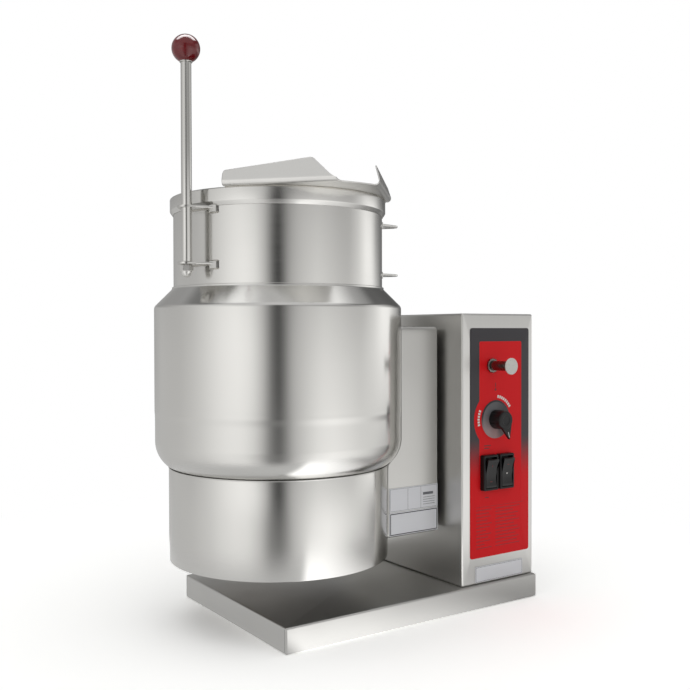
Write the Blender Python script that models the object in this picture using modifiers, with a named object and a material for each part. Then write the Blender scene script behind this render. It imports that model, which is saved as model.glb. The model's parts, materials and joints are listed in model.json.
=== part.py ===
"""Countertop steam jacketed kettle with its tilting gear, console and base.

The kettle group (bowl, jacket, skirt, pouring lip, handle and wiring housing) hangs on one
trunnion shaft, which turns in two bushes inside the console. Metres, +Z up, the front is -Y,
and the console is at +X. The origin is on the counter, below the middle of the whole machine.
"""

import math

import bmesh
import bpy
from mathutils import Matrix, Vector

# Fits
CLEARANCE = 0.0003  # between pieces that touch
RUNNING = 0.0001  # radial, between the shaft and its bushes
SCREW_PLAY = 0.0004

# Base pan
BASE_WIDTH = 0.463
BASE_DEPTH = 0.3125
BASE_HEIGHT = 0.036
BASE_SHEET = 0.002
BASE_FLANGE = 0.020
BASE_BEND = 0.003

# Kettle: 12 in bowl, heights stacked from the pan up
BOWL_RADIUS = 0.1524
BOWL_WALL = 0.0016
STEAM_GAP = 0.026
JACKET_WALL = 0.002
JACKET_CORNER = 0.045
JACKET_HEIGHT = 0.194  # straight side, shoulder to corner
SHOULDER_BEND = 0.008
COLLAR_HEIGHT = 0.003
DRUM_HEIGHT = 0.1275  # bowl wall that shows above the jacket
SUMP_DEPTH = 0.041  # water space between the bowl and the jacket's bottom
NECK_RADIUS = 0.040
NECK_DROP = 0.010
NECK_FLANGE = 0.020
SKIRT_STEP = 0.020
SKIRT_HEIGHT = 0.134
SKIRT_WALL = 0.0015
SKIRT_ABOVE_PAN = 0.0563
COVER_SHEET = 0.0015
COVER_RIM = 0.012
COVER_RECESS = 0.003
WIRE_HOLE_RADIUS = 0.016

# Rim band and pouring lip
BAND_HEIGHT = 0.0235
BAND_THICKNESS = 0.0045
BAND_TAPER = 0.0055
BAND_BEND = 0.002
LIP_SHEET = 0.0015
LIP_TURN = math.radians(47.2)  # outward normal of each wing, from straight ahead
LIP_STAND_OFF = 0.0068  # wing's bend line outside the band
LIP_BEND = 0.006
LIP_LEAN = math.radians(18)
# Along the bend line from its point nearest the kettle's axis, as shares of that distance
WING_BACK_SHARE = -0.163
WING_PEAK_SHARE = 0.568
WING_FRONT_SHARE = 0.773
WING_BACK_HEIGHT = 0.0204
WING_PEAK_HEIGHT = 0.0340
WING_CORNER = 0.005

# Tilting handle
OVERALL_HEIGHT = 0.8185  # counter to the top of the ball
ROD_RADIUS = 0.0071
ROD_END_RADIUS = 0.0045  # turned down below its shoulder, for the nut
ROD_STAND_OFF = 0.0228  # rod's middle from the drum
ROD_ANGLE = math.radians(16.1)  # forward of the kettle's side
BALL_RADIUS = 0.019
BALL_SOCKET = 0.013
BRACKET_SHEET = 0.003
UPPER_BRACKET_DROP = 0.0237
LOWER_BRACKET_DROP = 0.0989
SPARE_BRACKET_DROP = 0.005  # right pair, below the left
BRACKET_EYE = 0.0125
BRACKET_TAB_HEIGHT = 0.011
BRACKET_TAB_DROP = 0.0045
BRACKET_TAB_ANGLE = math.radians(28)
BRACKET_BACK_ANGLE = math.radians(1)
NUT_RADIUS = 0.0088
NUT_HEX_HEIGHT = 0.009
NUT_DOME_HEIGHT = 0.008
NUT_THREAD_DEPTH = 0.008

# Trunnion
TILT_ABOVE_SKIRT = 0.2527
SHAFT_RADIUS = 0.022
SHAFT_BORE = 0.016
SHAFT_TAIL = 0.006
HUB_RADIUS = 0.040
HUB_LENGTH = 0.024
HUB_WALL = 0.004
HOUSING_HALF_DEPTH = 0.106
HOUSING_BELOW = 0.2290
HOUSING_ABOVE = 0.0846
HOUSING_SHEET = 0.0015
HOUSING_BEND = 0.005
RUNNING_GAP = 0.009  # housing to console
LABEL_FROM_SKIRT = 0.0032
LABEL_SHEET = 0.0005
UPPER_LABEL_HEIGHT = 0.0355
LOWER_LABEL_HEIGHT = 0.0345
LABEL_GAP = 0.001

# Console
CONSOLE_WIDTH = 0.149
CONSOLE_ABOVE_SHAFT = 0.1043
CONSOLE_FROM_JACKET = 0.0477
CONSOLE_INSET_RIGHT = 0.003
CONSOLE_INSET_FRONT = 0.006
CONSOLE_INSET_BACK = 0.006
CONSOLE_SHEET = 0.0015
CONSOLE_FLANGE = 0.014
CONSOLE_BEND = 0.003
SHAFT_HOLE_PLAY = 0.003
REAR_COVER_SHEET = 0.0012
REAR_COVER_INSET = 0.0015
REAR_SCREW_INSET = 0.0065
REAR_SCREW_HEAD = 0.004
REAR_SCREW_RADIUS = 0.0018
REAR_SCREW_LENGTH = 0.008
GLAND_RADIUS = 0.010
GLAND_BORE = 0.005
GLAND_HEX = 0.0135
GLAND_LENGTH = 0.020
GLAND_HEIGHT = 0.050

# Control panel
PANEL_WIDTH = 0.124
PANEL_FROM_TOP = 0.022  # below the console's top
PANEL_SHEET = 0.0005
PANEL_CORNER = 0.004
PANEL_BOTTOM = 0.040
PANEL_SHIFT = 0.003
NAME_PLATE_WIDTH = 0.100
NAME_PLATE_HEIGHT = 0.0245
NAME_PLATE_BOTTOM = 0.0025
PLATE_CORNER = 0.001
CONTROL_SHIFT = -0.007  # dial and switches, from the console's middle
DIAL_FROM_TOP = 0.1625
DIAL_RADIUS = 0.0295
DIAL_HOLE = 0.0065
KNOB_RADIUS = 0.015
KNOB_LENGTH = 0.026
KNOB_POINTER = 0.031
KNOB_POINTER_SHEET = 0.004
POINTER_ANGLE = math.radians(-65)
SPINDLE_RADIUS = 0.003
SPINDLE_LENGTH = 0.022
SWITCH_FROM_TOP = 0.243
SWITCH_GAP = 0.0035
BEZEL_WIDTH = 0.030
BEZEL_TALL = 0.054
BEZEL_DEPTH = 0.009
BEZEL_RIM = 0.003
SWITCH_BODY_DEPTH = 0.028
ROCKER_SLOT_DEPTH = 0.010
ROCKER_SWING = math.radians(7)
ROCKER_KEEL = 0.006
ROCKER_FACE = 0.008
ROCKER_END_RISE = 0.004
BUTTON_FROM_TOP = 0.0795
BUTTON_SHIFT = -0.0145
BUTTON_STEM_RADIUS = 0.0075
BUTTON_DISC_RADIUS = 0.0130
BUTTON_DISC_THICKNESS = 0.003
BUTTON_REACH = 0.0435
BUSH_BARREL = 0.0095
BUSH_NUT_RADIUS = 0.0112
BUSH_NUT_THICKNESS = 0.004
BUSH_TAIL = 0.012

# Bearings inside the console
FRAME_PLATE = 0.006
FRAME_PLAY = 0.0015
FRAME_DEPTH = 0.090
FRAME_ABOVE_SHAFT = 0.040
BUSH_WALL = 0.005
BUSH_FLANGE = 0.005
BUSH_FLANGE_THICKNESS = 0.003
BACKING_MARGIN = 0.012
BOLT_RADIUS = 0.005
BOLT_HEAD_RADIUS = 0.009
BOLT_HEAD_HEIGHT = 0.006
BOLT_TAIL = 0.010
BOLT_INSET_X = 0.020
BOLT_INSET_Y = 0.015
STOP_LUG_REACH = 0.044
STOP_LUG_WIDTH = 0.012
STOP_COLLAR_WALL = 0.005
STOP_COLLAR_WIDTH = 0.012
STOP_PIN_RADIUS = 0.004
TILT_RANGE = math.radians(90)

# Jacket fittings at the back
VALVE_ABOVE_AXIS = 0.050
NIPPLE_RADIUS = 0.0105
NIPPLE_REACH = 0.026
FITTING_INSERT = 0.0015
VALVE_BODY_RADIUS = 0.013
VALVE_BODY_HEIGHT = 0.046
VALVE_CAP_RADIUS = 0.009
VALVE_CAP_HEIGHT = 0.012
VALVE_STEM_RADIUS = 0.0025
VALVE_STEM_HEIGHT = 0.004
LEVER_LENGTH = 0.036
LEVER_WIDTH = 0.010
LEVER_SHEET = 0.002
LEVER_GAP = 0.0005
GAUGE_TURN = math.radians(32)  # from the valve towards the console
GAUGE_RADIUS = 0.024
GAUGE_THICKNESS = 0.018
GAUGE_NIPPLE = 0.006
GAUGE_REACH = 0.020

# Heaters and sensors in the sump
ELEMENT_RADIUS = 0.004
ELEMENT_REACH = 0.080
ELEMENT_HALF_WIDTH = 0.014
ELEMENT_INNER = 0.012
ELEMENT_FLANGE_THICKNESS = 0.007
PROBE_RADIUS = 0.003
PROBE_OFFSET = 0.028

# Electrical parts behind the panel
CONTACTOR_SIZE = (0.050, 0.060, 0.080)
CONTACTOR_HEIGHT = 0.170
TERMINALS_SIZE = (0.022, 0.018, 0.070)
TERMINALS_HEIGHT = 0.080
THERMOSTAT_SIZE = (0.036, 0.026, 0.046)
RESET_SWITCH_SIZE = (0.024, 0.020, 0.024)
ELECTRICS_FROM_FRAME = 0.008

# Facets
LARGE_STEPS = 48
MIDDLE_STEPS = 32
SMALL_STEPS = 16
BEND_STEPS = 2

# Places worked out from the sizes
DRUM_RADIUS = BOWL_RADIUS + BOWL_WALL
JACKET_RADIUS = DRUM_RADIUS + STEAM_GAP + JACKET_WALL
SKIRT_RADIUS = JACKET_RADIUS - SKIRT_STEP
BAND_RADIUS = DRUM_RADIUS + CLEARANCE + BAND_THICKNESS
COLLAR_RADIUS = DRUM_RADIUS + CLEARANCE + JACKET_WALL
SKIRT_BOTTOM = BASE_HEIGHT + SKIRT_ABOVE_PAN
CORNER_CENTRE_R = JACKET_RADIUS - JACKET_CORNER
CORNER_ANGLE = math.acos((SKIRT_RADIUS - CORNER_CENTRE_R) / JACKET_CORNER)
SKIRT_JOIN = SKIRT_BOTTOM + SKIRT_HEIGHT + 2 * CLEARANCE
CORNER_TOP = SKIRT_JOIN + JACKET_CORNER * math.sin(CORNER_ANGLE)
SHOULDER_TOP = CORNER_TOP + JACKET_HEIGHT
CONE_TOP = SHOULDER_TOP + JACKET_RADIUS - COLLAR_RADIUS
COLLAR_TOP = CONE_TOP + COLLAR_HEIGHT
RIM_TOP = COLLAR_TOP + DRUM_HEIGHT
DISH_ANGLE = math.pi / 2 - CORNER_ANGLE
DISH_RADIUS = SKIRT_RADIUS / math.sin(DISH_ANGLE)
DISH_CENTRE_Z = SKIRT_JOIN + DISH_RADIUS * math.cos(DISH_ANGLE)
DISH_BOTTOM = DISH_CENTRE_Z - DISH_RADIUS
BOWL_BOTTOM = DISH_BOTTOM + JACKET_WALL + SUMP_DEPTH
BOWL_CENTRE_Z = BOWL_BOTTOM + DRUM_RADIUS
NECK_BOTTOM = DISH_BOTTOM - NECK_DROP
TILT_HEIGHT = SKIRT_BOTTOM + TILT_ABOVE_SKIRT

LIP_CHORD = BAND_RADIUS + LIP_STAND_OFF
WING_BACK = WING_BACK_SHARE * LIP_CHORD
WING_PEAK = WING_PEAK_SHARE * LIP_CHORD
WING_FRONT = WING_FRONT_SHARE * LIP_CHORD
LIP_REACH = LIP_CHORD * math.cos(LIP_TURN) + WING_FRONT * math.sin(LIP_TURN)
ROD_OUT = (DRUM_RADIUS + ROD_STAND_OFF) * math.cos(ROD_ANGLE)
ROD_FORWARD = (DRUM_RADIUS + ROD_STAND_OFF) * math.sin(ROD_ANGLE)
KETTLE_FROM_RIGHT = CONSOLE_INSET_RIGHT + CONSOLE_WIDTH + CONSOLE_FROM_JACKET + JACKET_RADIUS
KETTLE_FROM_LEFT = BASE_WIDTH - KETTLE_FROM_RIGHT
LEFT_REACH = max(ROD_OUT + BALL_RADIUS, JACKET_RADIUS) - KETTLE_FROM_LEFT
VALVE_REACH = JACKET_RADIUS + NIPPLE_REACH + VALVE_BODY_RADIUS
KETTLE_FROM_FRONT = BASE_DEPTH / 2
FRONT_REACH = LIP_REACH - KETTLE_FROM_FRONT
BACK_REACH = VALVE_REACH - (BASE_DEPTH - KETTLE_FROM_FRONT)
BASE_LEFT = (LEFT_REACH - BASE_WIDTH) / 2
BASE_FRONT = (FRONT_REACH - BASE_DEPTH - BACK_REACH) / 2
BASE_RIGHT = BASE_LEFT + BASE_WIDTH
BASE_BACK = BASE_FRONT + BASE_DEPTH
KETTLE_X = BASE_LEFT + KETTLE_FROM_LEFT
KETTLE_Y = BASE_FRONT + KETTLE_FROM_FRONT

CONSOLE_RIGHT = BASE_RIGHT - CONSOLE_INSET_RIGHT
CONSOLE_LEFT = CONSOLE_RIGHT - CONSOLE_WIDTH
CONSOLE_MIDDLE = (CONSOLE_LEFT + CONSOLE_RIGHT) / 2
CONSOLE_FRONT = BASE_FRONT + CONSOLE_INSET_FRONT
CONSOLE_BACK = BASE_BACK - CONSOLE_INSET_BACK
CONSOLE_BOTTOM = BASE_HEIGHT + CLEARANCE
CONSOLE_TOP = TILT_HEIGHT + CONSOLE_ABOVE_SHAFT
PANEL_HEIGHT = CONSOLE_TOP - PANEL_FROM_TOP - CONSOLE_BOTTOM - PANEL_BOTTOM
PANEL_FACE = CONSOLE_FRONT - CLEARANCE - PANEL_SHEET
HOUSING_RIGHT = CONSOLE_LEFT - RUNNING_GAP
HOUSING_FRONT = KETTLE_Y - HOUSING_HALF_DEPTH
HOUSING_BOTTOM = TILT_HEIGHT - HOUSING_BELOW
HOUSING_TOP = TILT_HEIGHT + HOUSING_ABOVE
LABEL_RIGHT = HOUSING_RIGHT - HOUSING_BEND / 2
SKIRT_SIDE = math.sqrt(max(SKIRT_RADIUS**2 - HOUSING_HALF_DEPTH**2, 0))
LABEL_WIDTH = LABEL_RIGHT - KETTLE_X - SKIRT_SIDE - LABEL_FROM_SKIRT
FRAME_WIDTH = CONSOLE_WIDTH - 2 * (CONSOLE_FLANGE + FRAME_PLAY)
FRAME_LEFT = CONSOLE_MIDDLE - FRAME_WIDTH / 2
FRAME_RIGHT = CONSOLE_MIDDLE + FRAME_WIDTH / 2
FRAME_BOTTOM = BASE_HEIGHT + CLEARANCE
CONTROL_X = CONSOLE_MIDDLE + CONTROL_SHIFT
BUTTON_X = CONSOLE_MIDDLE + BUTTON_SHIFT
BRACKET_SEAT = DRUM_RADIUS + CLEARANCE
ROD_BOTTOM = RIM_TOP - LOWER_BRACKET_DROP - BRACKET_SHEET - NUT_THREAD_DEPTH
BALL_CENTRE = OVERALL_HEIGHT - BALL_RADIUS


def start_scene():
    """Empty the scene and make the collections for the parts and for the cutters."""
    for old in list(bpy.data.objects):
        bpy.data.objects.remove(old)
    made = []
    for name in ("steam_jacketed_kettle", "cutters"):
        collection = bpy.data.collections.new(name)
        bpy.context.scene.collection.children.link(collection)
        made.append(collection)
    return made


PARTS, CUTTERS = start_scene()


def material(name, colour, roughness, metallic):
    made = bpy.data.materials.new(name)
    made.use_nodes = True
    shader = made.node_tree.nodes["Principled BSDF"]
    shader.inputs["Base Color"].default_value = (*colour, 1)
    shader.inputs["Roughness"].default_value = roughness
    shader.inputs["Metallic"].default_value = metallic
    return made


STEEL = ("stainless steel", (0.62, 0.62, 0.61), 0.30, 1.0)
PLATED = ("plated steel", (0.45, 0.45, 0.44), 0.40, 1.0)
BRASS = ("brass", (0.60, 0.44, 0.18), 0.35, 1.0)
BRONZE = ("bearing bronze", (0.50, 0.32, 0.16), 0.45, 1.0)
BLACK = ("black plastic", (0.015, 0.015, 0.015), 0.40, 0.0)
RED = ("red overlay", (0.60, 0.02, 0.03), 0.35, 0.0)
MAROON = ("maroon phenolic", (0.10, 0.008, 0.01), 0.12, 0.0)
WHITE = ("white plastic", (0.75, 0.75, 0.72), 0.30, 0.0)
LABEL = ("printed foil", (0.70, 0.70, 0.68), 0.40, 0.3)


def place(name, mesh, look, location=(0, 0, 0), rotation=(0, 0, 0)):
    """A named part, or a hidden cutter where look is None."""
    made = bpy.data.objects.new(name, mesh)
    made.location = location
    made.rotation_euler = rotation
    if look:
        PARTS.objects.link(made)
        mesh.materials.append(material(name, *look[1:]))
    else:
        CUTTERS.objects.link(made)
        made.hide_render = True
        made.display_type = "WIRE"
    return made


def smooth(made, degrees=35):
    made.data.shade_smooth()
    made.data.set_sharp_from_angle(angle=math.radians(degrees))
    return made


def mesh_of(bm, name):
    mesh = bpy.data.meshes.new(name)
    bmesh.ops.recalc_face_normals(bm, faces=bm.faces)
    bm.to_mesh(mesh)
    bm.free()
    return mesh


def box(name, low, high, look=None, bevel=0.0):
    """A block between two corners, its object at the block's middle."""
    size = [h - l for l, h in zip(low, high)]
    middle = [(h + l) / 2 for l, h in zip(low, high)]
    bm = bmesh.new()
    bmesh.ops.create_cube(bm, size=1, matrix=Matrix.Diagonal((*size, 1)))
    made = place(name, mesh_of(bm, name), look, middle)
    if bevel:
        round_edges(made, bevel)
    return made


def round_edges(made, width, segments=BEND_STEPS):
    bevel = made.modifiers.new("bends", "BEVEL")
    bevel.width = width
    bevel.segments = segments
    bevel.limit_method = "ANGLE"
    bevel.angle_limit = math.radians(30)
    return bevel


def thicken(made, sheet):
    """Give an open surface its sheet thickness, inwards."""
    shell = made.modifiers.new("sheet", "SOLIDIFY")
    shell.thickness = sheet
    shell.offset = -1
    shell.use_even_offset = True
    return shell


def cylinder(name, radius, start, end, look=None, steps=MIDDLE_STEPS):
    """A round bar from one point to another."""
    start, end = Vector(start), Vector(end)
    bm = bmesh.new()
    bmesh.ops.create_cone(
        bm, cap_ends=True, segments=steps, radius1=radius, radius2=radius,
        depth=(end - start).length,
    )
    turn = Vector((0, 0, 1)).rotation_difference(end - start).to_euler()
    return smooth(place(name, mesh_of(bm, name), look, (start + end) / 2, turn))


def turned(name, profile, look, location, rotation=(0, 0, 0), steps=LARGE_STEPS, closed=True):
    """A lathe shape: (radius, height) points down the outside, revolved about the object's Z.

    A closed profile is a solid, and a stretch of it that lies on the axis gets no edge."""
    bm = bmesh.new()
    corners = [bm.verts.new((r, 0, z)) for r, z in profile]
    following = corners[1:] + corners[:1] if closed else corners[1:]
    for first, second in zip(corners, following):
        if max(first.co.x, second.co.x) > 0:
            bm.edges.new((first, second))
    mesh = bpy.data.meshes.new(name)
    bm.to_mesh(mesh)
    bm.free()
    made = place(name, mesh, look, location, rotation)
    screw = made.modifiers.new("lathe", "SCREW")
    screw.steps = screw.render_steps = steps
    screw.use_merge_vertices = True
    screw.merge_threshold = 0.00005
    screw.use_smooth_shade = True
    return made


def flat_plate(name, outline, thickness, look, location=(0, 0, 0), rotation=(0, 0, 0)):
    """A flat outline in the object's XY, thickness centred on it, ready for Booleans."""
    curve = bpy.data.curves.new(name, "CURVE")
    curve.dimensions = "2D"
    curve.fill_mode = "BOTH"
    curve.extrude = thickness / 2
    spline = curve.splines.new("POLY")
    spline.points.add(len(outline) - 1)
    for point, (x, y) in zip(spline.points, outline):
        point.co = (x, y, 0, 1)
    spline.use_cyclic_u = True
    return as_mesh(name, curve, look, location, rotation)


def tube(name, path, radius, look, sides=2, steps=6):
    """A bent bar along points, its corners already rounded."""
    curve = bpy.data.curves.new(name, "CURVE")
    curve.dimensions = "3D"
    curve.bevel_depth = radius
    curve.bevel_resolution = sides
    curve.use_fill_caps = True
    spline = curve.splines.new("POLY")
    spline.points.add(len(path) - 1)
    for point, place_at in zip(spline.points, path):
        point.co = (*place_at, 1)
    return smooth(as_mesh(name, curve, look), 40)


def as_mesh(name, curve, look, location=(0, 0, 0), rotation=(0, 0, 0)):
    """The curve's evaluated shape as a mesh object with welded caps."""
    guide = bpy.data.objects.new(name + "_curve", curve)
    CUTTERS.objects.link(guide)
    bpy.context.view_layer.update()
    graph = bpy.context.evaluated_depsgraph_get()
    mesh = bpy.data.meshes.new_from_object(guide.evaluated_get(graph))
    bpy.data.objects.remove(guide)
    mesh.materials.clear()
    bm = bmesh.new()
    bm.from_mesh(mesh)
    bmesh.ops.remove_doubles(bm, verts=bm.verts, dist=0.000005)
    bmesh.ops.recalc_face_normals(bm, faces=bm.faces)
    bm.to_mesh(mesh)
    bm.free()
    return place(name, mesh, look, location, rotation)


def combine(made, other, operation="DIFFERENCE"):
    """Cut the helper from the part, or join it on; the helper stays hidden."""
    step = made.modifiers.new(operation.lower(), "BOOLEAN")
    step.operation = operation
    step.solver = "EXACT"
    step.object = other
    return made


def arc(centre, radius, start, end, steps):
    """Points on a circle between two angles in degrees, ends included."""
    angles = [math.radians(start + (end - start) * i / steps) for i in range(steps + 1)]
    return [(centre[0] + radius * math.cos(a), centre[1] + radius * math.sin(a)) for a in angles]


def filleted(points, radii, steps=3):
    """A closed outline with its corners rounded, each to its own radius; 0 leaves one sharp."""
    rounded = []
    count = len(points)
    for i, (corner, radius) in enumerate(zip(points, radii)):
        if radius == 0:
            rounded.append(corner)
            continue
        here = Vector(corner)
        before = (Vector(points[i - 1]) - here).normalized()
        after = (Vector(points[(i + 1) % count]) - here).normalized()
        half = before.angle(after) / 2
        centre = here + (before + after).normalized() * radius / math.sin(half)
        first = here + before * radius / math.tan(half) - centre
        last = here + after * radius / math.tan(half) - centre
        for step in range(steps + 1):
            blend = first.lerp(last, step / steps)
            rounded.append(tuple(centre + blend.normalized() * radius))
    return rounded


def rectangle(width, height):
    w, h = width / 2, height / 2
    return [(-w, -h), (w, -h), (w, h), (-w, h)]


def sheet_box(name, low, high, look, sheet, bend, open_sides, flange):
    """A folded sheet box. Each open side keeps an in-turned flange; no flange where it is 0."""
    size = [h - l for l, h in zip(low, high)]
    middle = [(h + l) / 2 for l, h in zip(low, high)]
    bm = bmesh.new()
    bmesh.ops.create_cube(bm, size=1, matrix=Matrix.Diagonal((*size, 1)))
    bm.normal_update()
    for side in open_sides:
        face = max(bm.faces, key=lambda f: f.normal.dot(Vector(side)) * f.calc_area())
        if flange:
            bmesh.ops.inset_individual(bm, faces=[face], thickness=flange)
        bmesh.ops.delete(bm, geom=[face], context="FACES_ONLY")
        bm.normal_update()
    mesh = bpy.data.meshes.new(name)
    bm.to_mesh(mesh)
    bm.free()
    made = place(name, mesh, look, middle)
    round_edges(made, bend)
    thicken(made, sheet)
    return made


def kettle_envelope(name, gap):
    """A solid as large as the jacket and skirt with a gap all round, to cut what meets them."""
    profile = [(0, CONE_TOP), (COLLAR_RADIUS + gap, CONE_TOP)]
    profile += [(JACKET_RADIUS + gap, SHOULDER_TOP)]
    low = -math.degrees(CORNER_ANGLE)
    centre = (CORNER_CENTRE_R, CORNER_TOP)
    profile += arc(centre, JACKET_CORNER + gap, 0, low, 5)
    profile += [(SKIRT_RADIUS + gap, SKIRT_JOIN - JACKET_WALL)]
    profile += [(SKIRT_RADIUS + gap, SKIRT_BOTTOM - gap), (0, SKIRT_BOTTOM - gap)]
    return turned(name, profile, None, (KETTLE_X, KETTLE_Y, 0))


def make_base():
    low = (BASE_LEFT, BASE_FRONT, 0)
    high = (BASE_RIGHT, BASE_BACK, BASE_HEIGHT)
    sheet_box("base_pan", low, high, STEEL, BASE_SHEET, BASE_BEND, [(0, 0, -1)], BASE_FLANGE)
    top = BASE_HEIGHT - BASE_SHEET - CLEARANCE
    half = FRAME_DEPTH / 2 + BACKING_MARGIN
    box(
        "base_backing_plate",
        (FRAME_LEFT, KETTLE_Y - half, top - FRAME_PLATE),
        (FRAME_RIGHT, KETTLE_Y + half, top),
        PLATED,
    )


def make_console():
    body = sheet_box(
        "console_body",
        (CONSOLE_LEFT, CONSOLE_FRONT, CONSOLE_BOTTOM),
        (CONSOLE_RIGHT, CONSOLE_BACK, CONSOLE_TOP),
        STEEL, CONSOLE_SHEET, CONSOLE_BEND, [(0, 0, -1), (0, 1, 0)], CONSOLE_FLANGE,
    )
    hole = cylinder(
        "shaft_hole", SHAFT_RADIUS + SHAFT_HOLE_PLAY,
        (CONSOLE_LEFT - CONSOLE_FLANGE, KETTLE_Y, TILT_HEIGHT),
        (CONSOLE_LEFT + CONSOLE_FLANGE / 2, KETTLE_Y, TILT_HEIGHT),
    )
    combine(body, hole)
    make_rear_cover(body)
    make_panel(body)
    return body


def make_rear_cover(body):
    """Flat cover on the console's rear flange, with its screws and cable gland."""
    face = CONSOLE_BACK + CLEARANCE
    back = face + REAR_COVER_SHEET
    inset = REAR_COVER_INSET
    cover = box(
        "console_rear_cover",
        (CONSOLE_LEFT + inset, face, CONSOLE_BOTTOM + inset),
        (CONSOLE_RIGHT - inset, back, CONSOLE_TOP - inset),
        STEEL,
    )
    sides = (CONSOLE_LEFT + REAR_SCREW_INSET, CONSOLE_RIGHT - REAR_SCREW_INSET)
    ends = (CONSOLE_BOTTOM + 3 * REAR_SCREW_INSET, CONSOLE_TOP - 3 * REAR_SCREW_INSET)
    spots = [(x, z) for z in ends for x in sides]
    for number, (x, z) in enumerate(spots, 1):
        hole = cylinder(
            f"screw_hole_{number}", REAR_SCREW_RADIUS + SCREW_PLAY,
            (x, CONSOLE_BACK - REAR_SCREW_LENGTH, z), (x, back + REAR_SCREW_LENGTH, z),
            steps=SMALL_STEPS,
        )
        combine(cover, hole)
        combine(body, hole)
        head, shank = REAR_SCREW_HEAD, REAR_SCREW_RADIUS
        profile = [
            (0, 0.55 * head), (0.6 * head, 0.5 * head), (head, 0.2 * head), (head, 0),
            (shank, 0), (shank, -REAR_SCREW_LENGTH), (0, -REAR_SCREW_LENGTH),
        ]
        turned(
            f"rear_cover_screw_{number}", profile, STEEL, (x, back + CLEARANCE, z),
            (-math.pi / 2, 0, 0), SMALL_STEPS,
        )
    make_gland(cover, back)


def make_gland(cover, back):
    """A hollow cable gland through the rear cover; its flange outside and its nut inside."""
    x, z = CONSOLE_MIDDLE, CONSOLE_BOTTOM + GLAND_HEIGHT
    hole = cylinder(
        "gland_hole", GLAND_RADIUS + CLEARANCE,
        (x, CONSOLE_BACK - GLAND_LENGTH, z), (x, back + GLAND_LENGTH, z),
    )
    combine(cover, hole)
    collar = GLAND_LENGTH / 4
    tail = REAR_COVER_SHEET + 3 * CLEARANCE + GLAND_LENGTH / 4
    profile = [
        (GLAND_BORE, GLAND_LENGTH), (0.75 * GLAND_HEX, GLAND_LENGTH),
        (0.9 * GLAND_HEX, 0.85 * GLAND_LENGTH), (0.9 * GLAND_HEX, collar), (GLAND_HEX, collar),
        (GLAND_HEX, 0), (GLAND_RADIUS, 0), (GLAND_RADIUS, -tail), (GLAND_BORE, -tail),
    ]
    along_y = (-math.pi / 2, 0, 0)
    outside = back + CLEARANCE
    turned("cable_gland", profile, BLACK, (x, outside, z), along_y, 24)
    inner = GLAND_RADIUS + CLEARANCE
    nut = [
        (GLAND_HEX, collar / 2), (GLAND_HEX, -collar / 2),
        (inner, -collar / 2), (inner, collar / 2),
    ]
    inside = CONSOLE_BACK - collar / 2
    turned("gland_locknut", nut, BLACK, (x, inside, z), along_y, 24)


def make_panel(body):
    """Front overlay, name plate, dial, knob, switches and button, with their holes."""
    flat = (math.pi / 2, 0, 0)
    middle_y = CONSOLE_FRONT - CLEARANCE - PANEL_SHEET / 2
    bottom = CONSOLE_BOTTOM + PANEL_BOTTOM
    overlay = flat_plate(
        "control_panel", filleted(rectangle(PANEL_WIDTH, PANEL_HEIGHT), [PANEL_CORNER] * 4),
        PANEL_SHEET, RED,
        (CONSOLE_MIDDLE + PANEL_SHIFT, middle_y, bottom + PANEL_HEIGHT / 2), flat,
    )
    flat_plate(
        "name_plate", filleted(rectangle(NAME_PLATE_WIDTH, NAME_PLATE_HEIGHT), [PLATE_CORNER] * 4),
        PANEL_SHEET, LABEL,
        (
            CONSOLE_MIDDLE + PANEL_SHIFT / 2, middle_y,
            CONSOLE_BOTTOM + NAME_PLATE_BOTTOM + NAME_PLATE_HEIGHT / 2,
        ),
        flat,
    )
    make_thermostat(body, overlay)
    for side, name in ((-1, "left"), (1, "right")):
        make_switch(name, side, body, overlay)
    make_button(body, overlay)


def panel_hole(name, radius, x, z, *targets):
    reach = 4 * CONSOLE_SHEET
    hole = cylinder(
        name, radius, (x, CONSOLE_FRONT - reach, z), (x, CONSOLE_FRONT + reach, z),
    )
    for target in targets:
        combine(target, hole)


def make_thermostat(body, overlay):
    x, z = CONTROL_X, CONSOLE_TOP - DIAL_FROM_TOP
    panel_hole("spindle_hole", DIAL_HOLE, x, z, body, overlay)
    dial_back = PANEL_FACE - CLEARANCE
    dial_face = dial_back - PANEL_SHEET
    ring = [
        (DIAL_RADIUS, dial_back - dial_face), (DIAL_RADIUS, 0), (DIAL_HOLE, 0),
        (DIAL_HOLE, dial_back - dial_face),
    ]
    turned("thermostat_dial", ring, LABEL, (x, dial_face, z), (-math.pi / 2, 0, 0))

    knob_back = dial_face - CLEARANCE
    body_end = CONSOLE_FRONT + CONSOLE_SHEET + CLEARANCE
    width, depth, height = THERMOSTAT_SIZE
    thermostat = box(
        "thermostat_body", (x - width / 2, body_end, z - height / 2),
        (x + width / 2, body_end + depth, z + height / 2), BLACK,
    )
    bore = cylinder(
        "spindle_bore", SPINDLE_RADIUS + CLEARANCE, (x, body_end - depth / 4, z),
        (x, knob_back + SPINDLE_LENGTH + CLEARANCE, z), steps=SMALL_STEPS,
    )
    combine(thermostat, bore)
    make_knob(x, knob_back, z)


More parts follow.
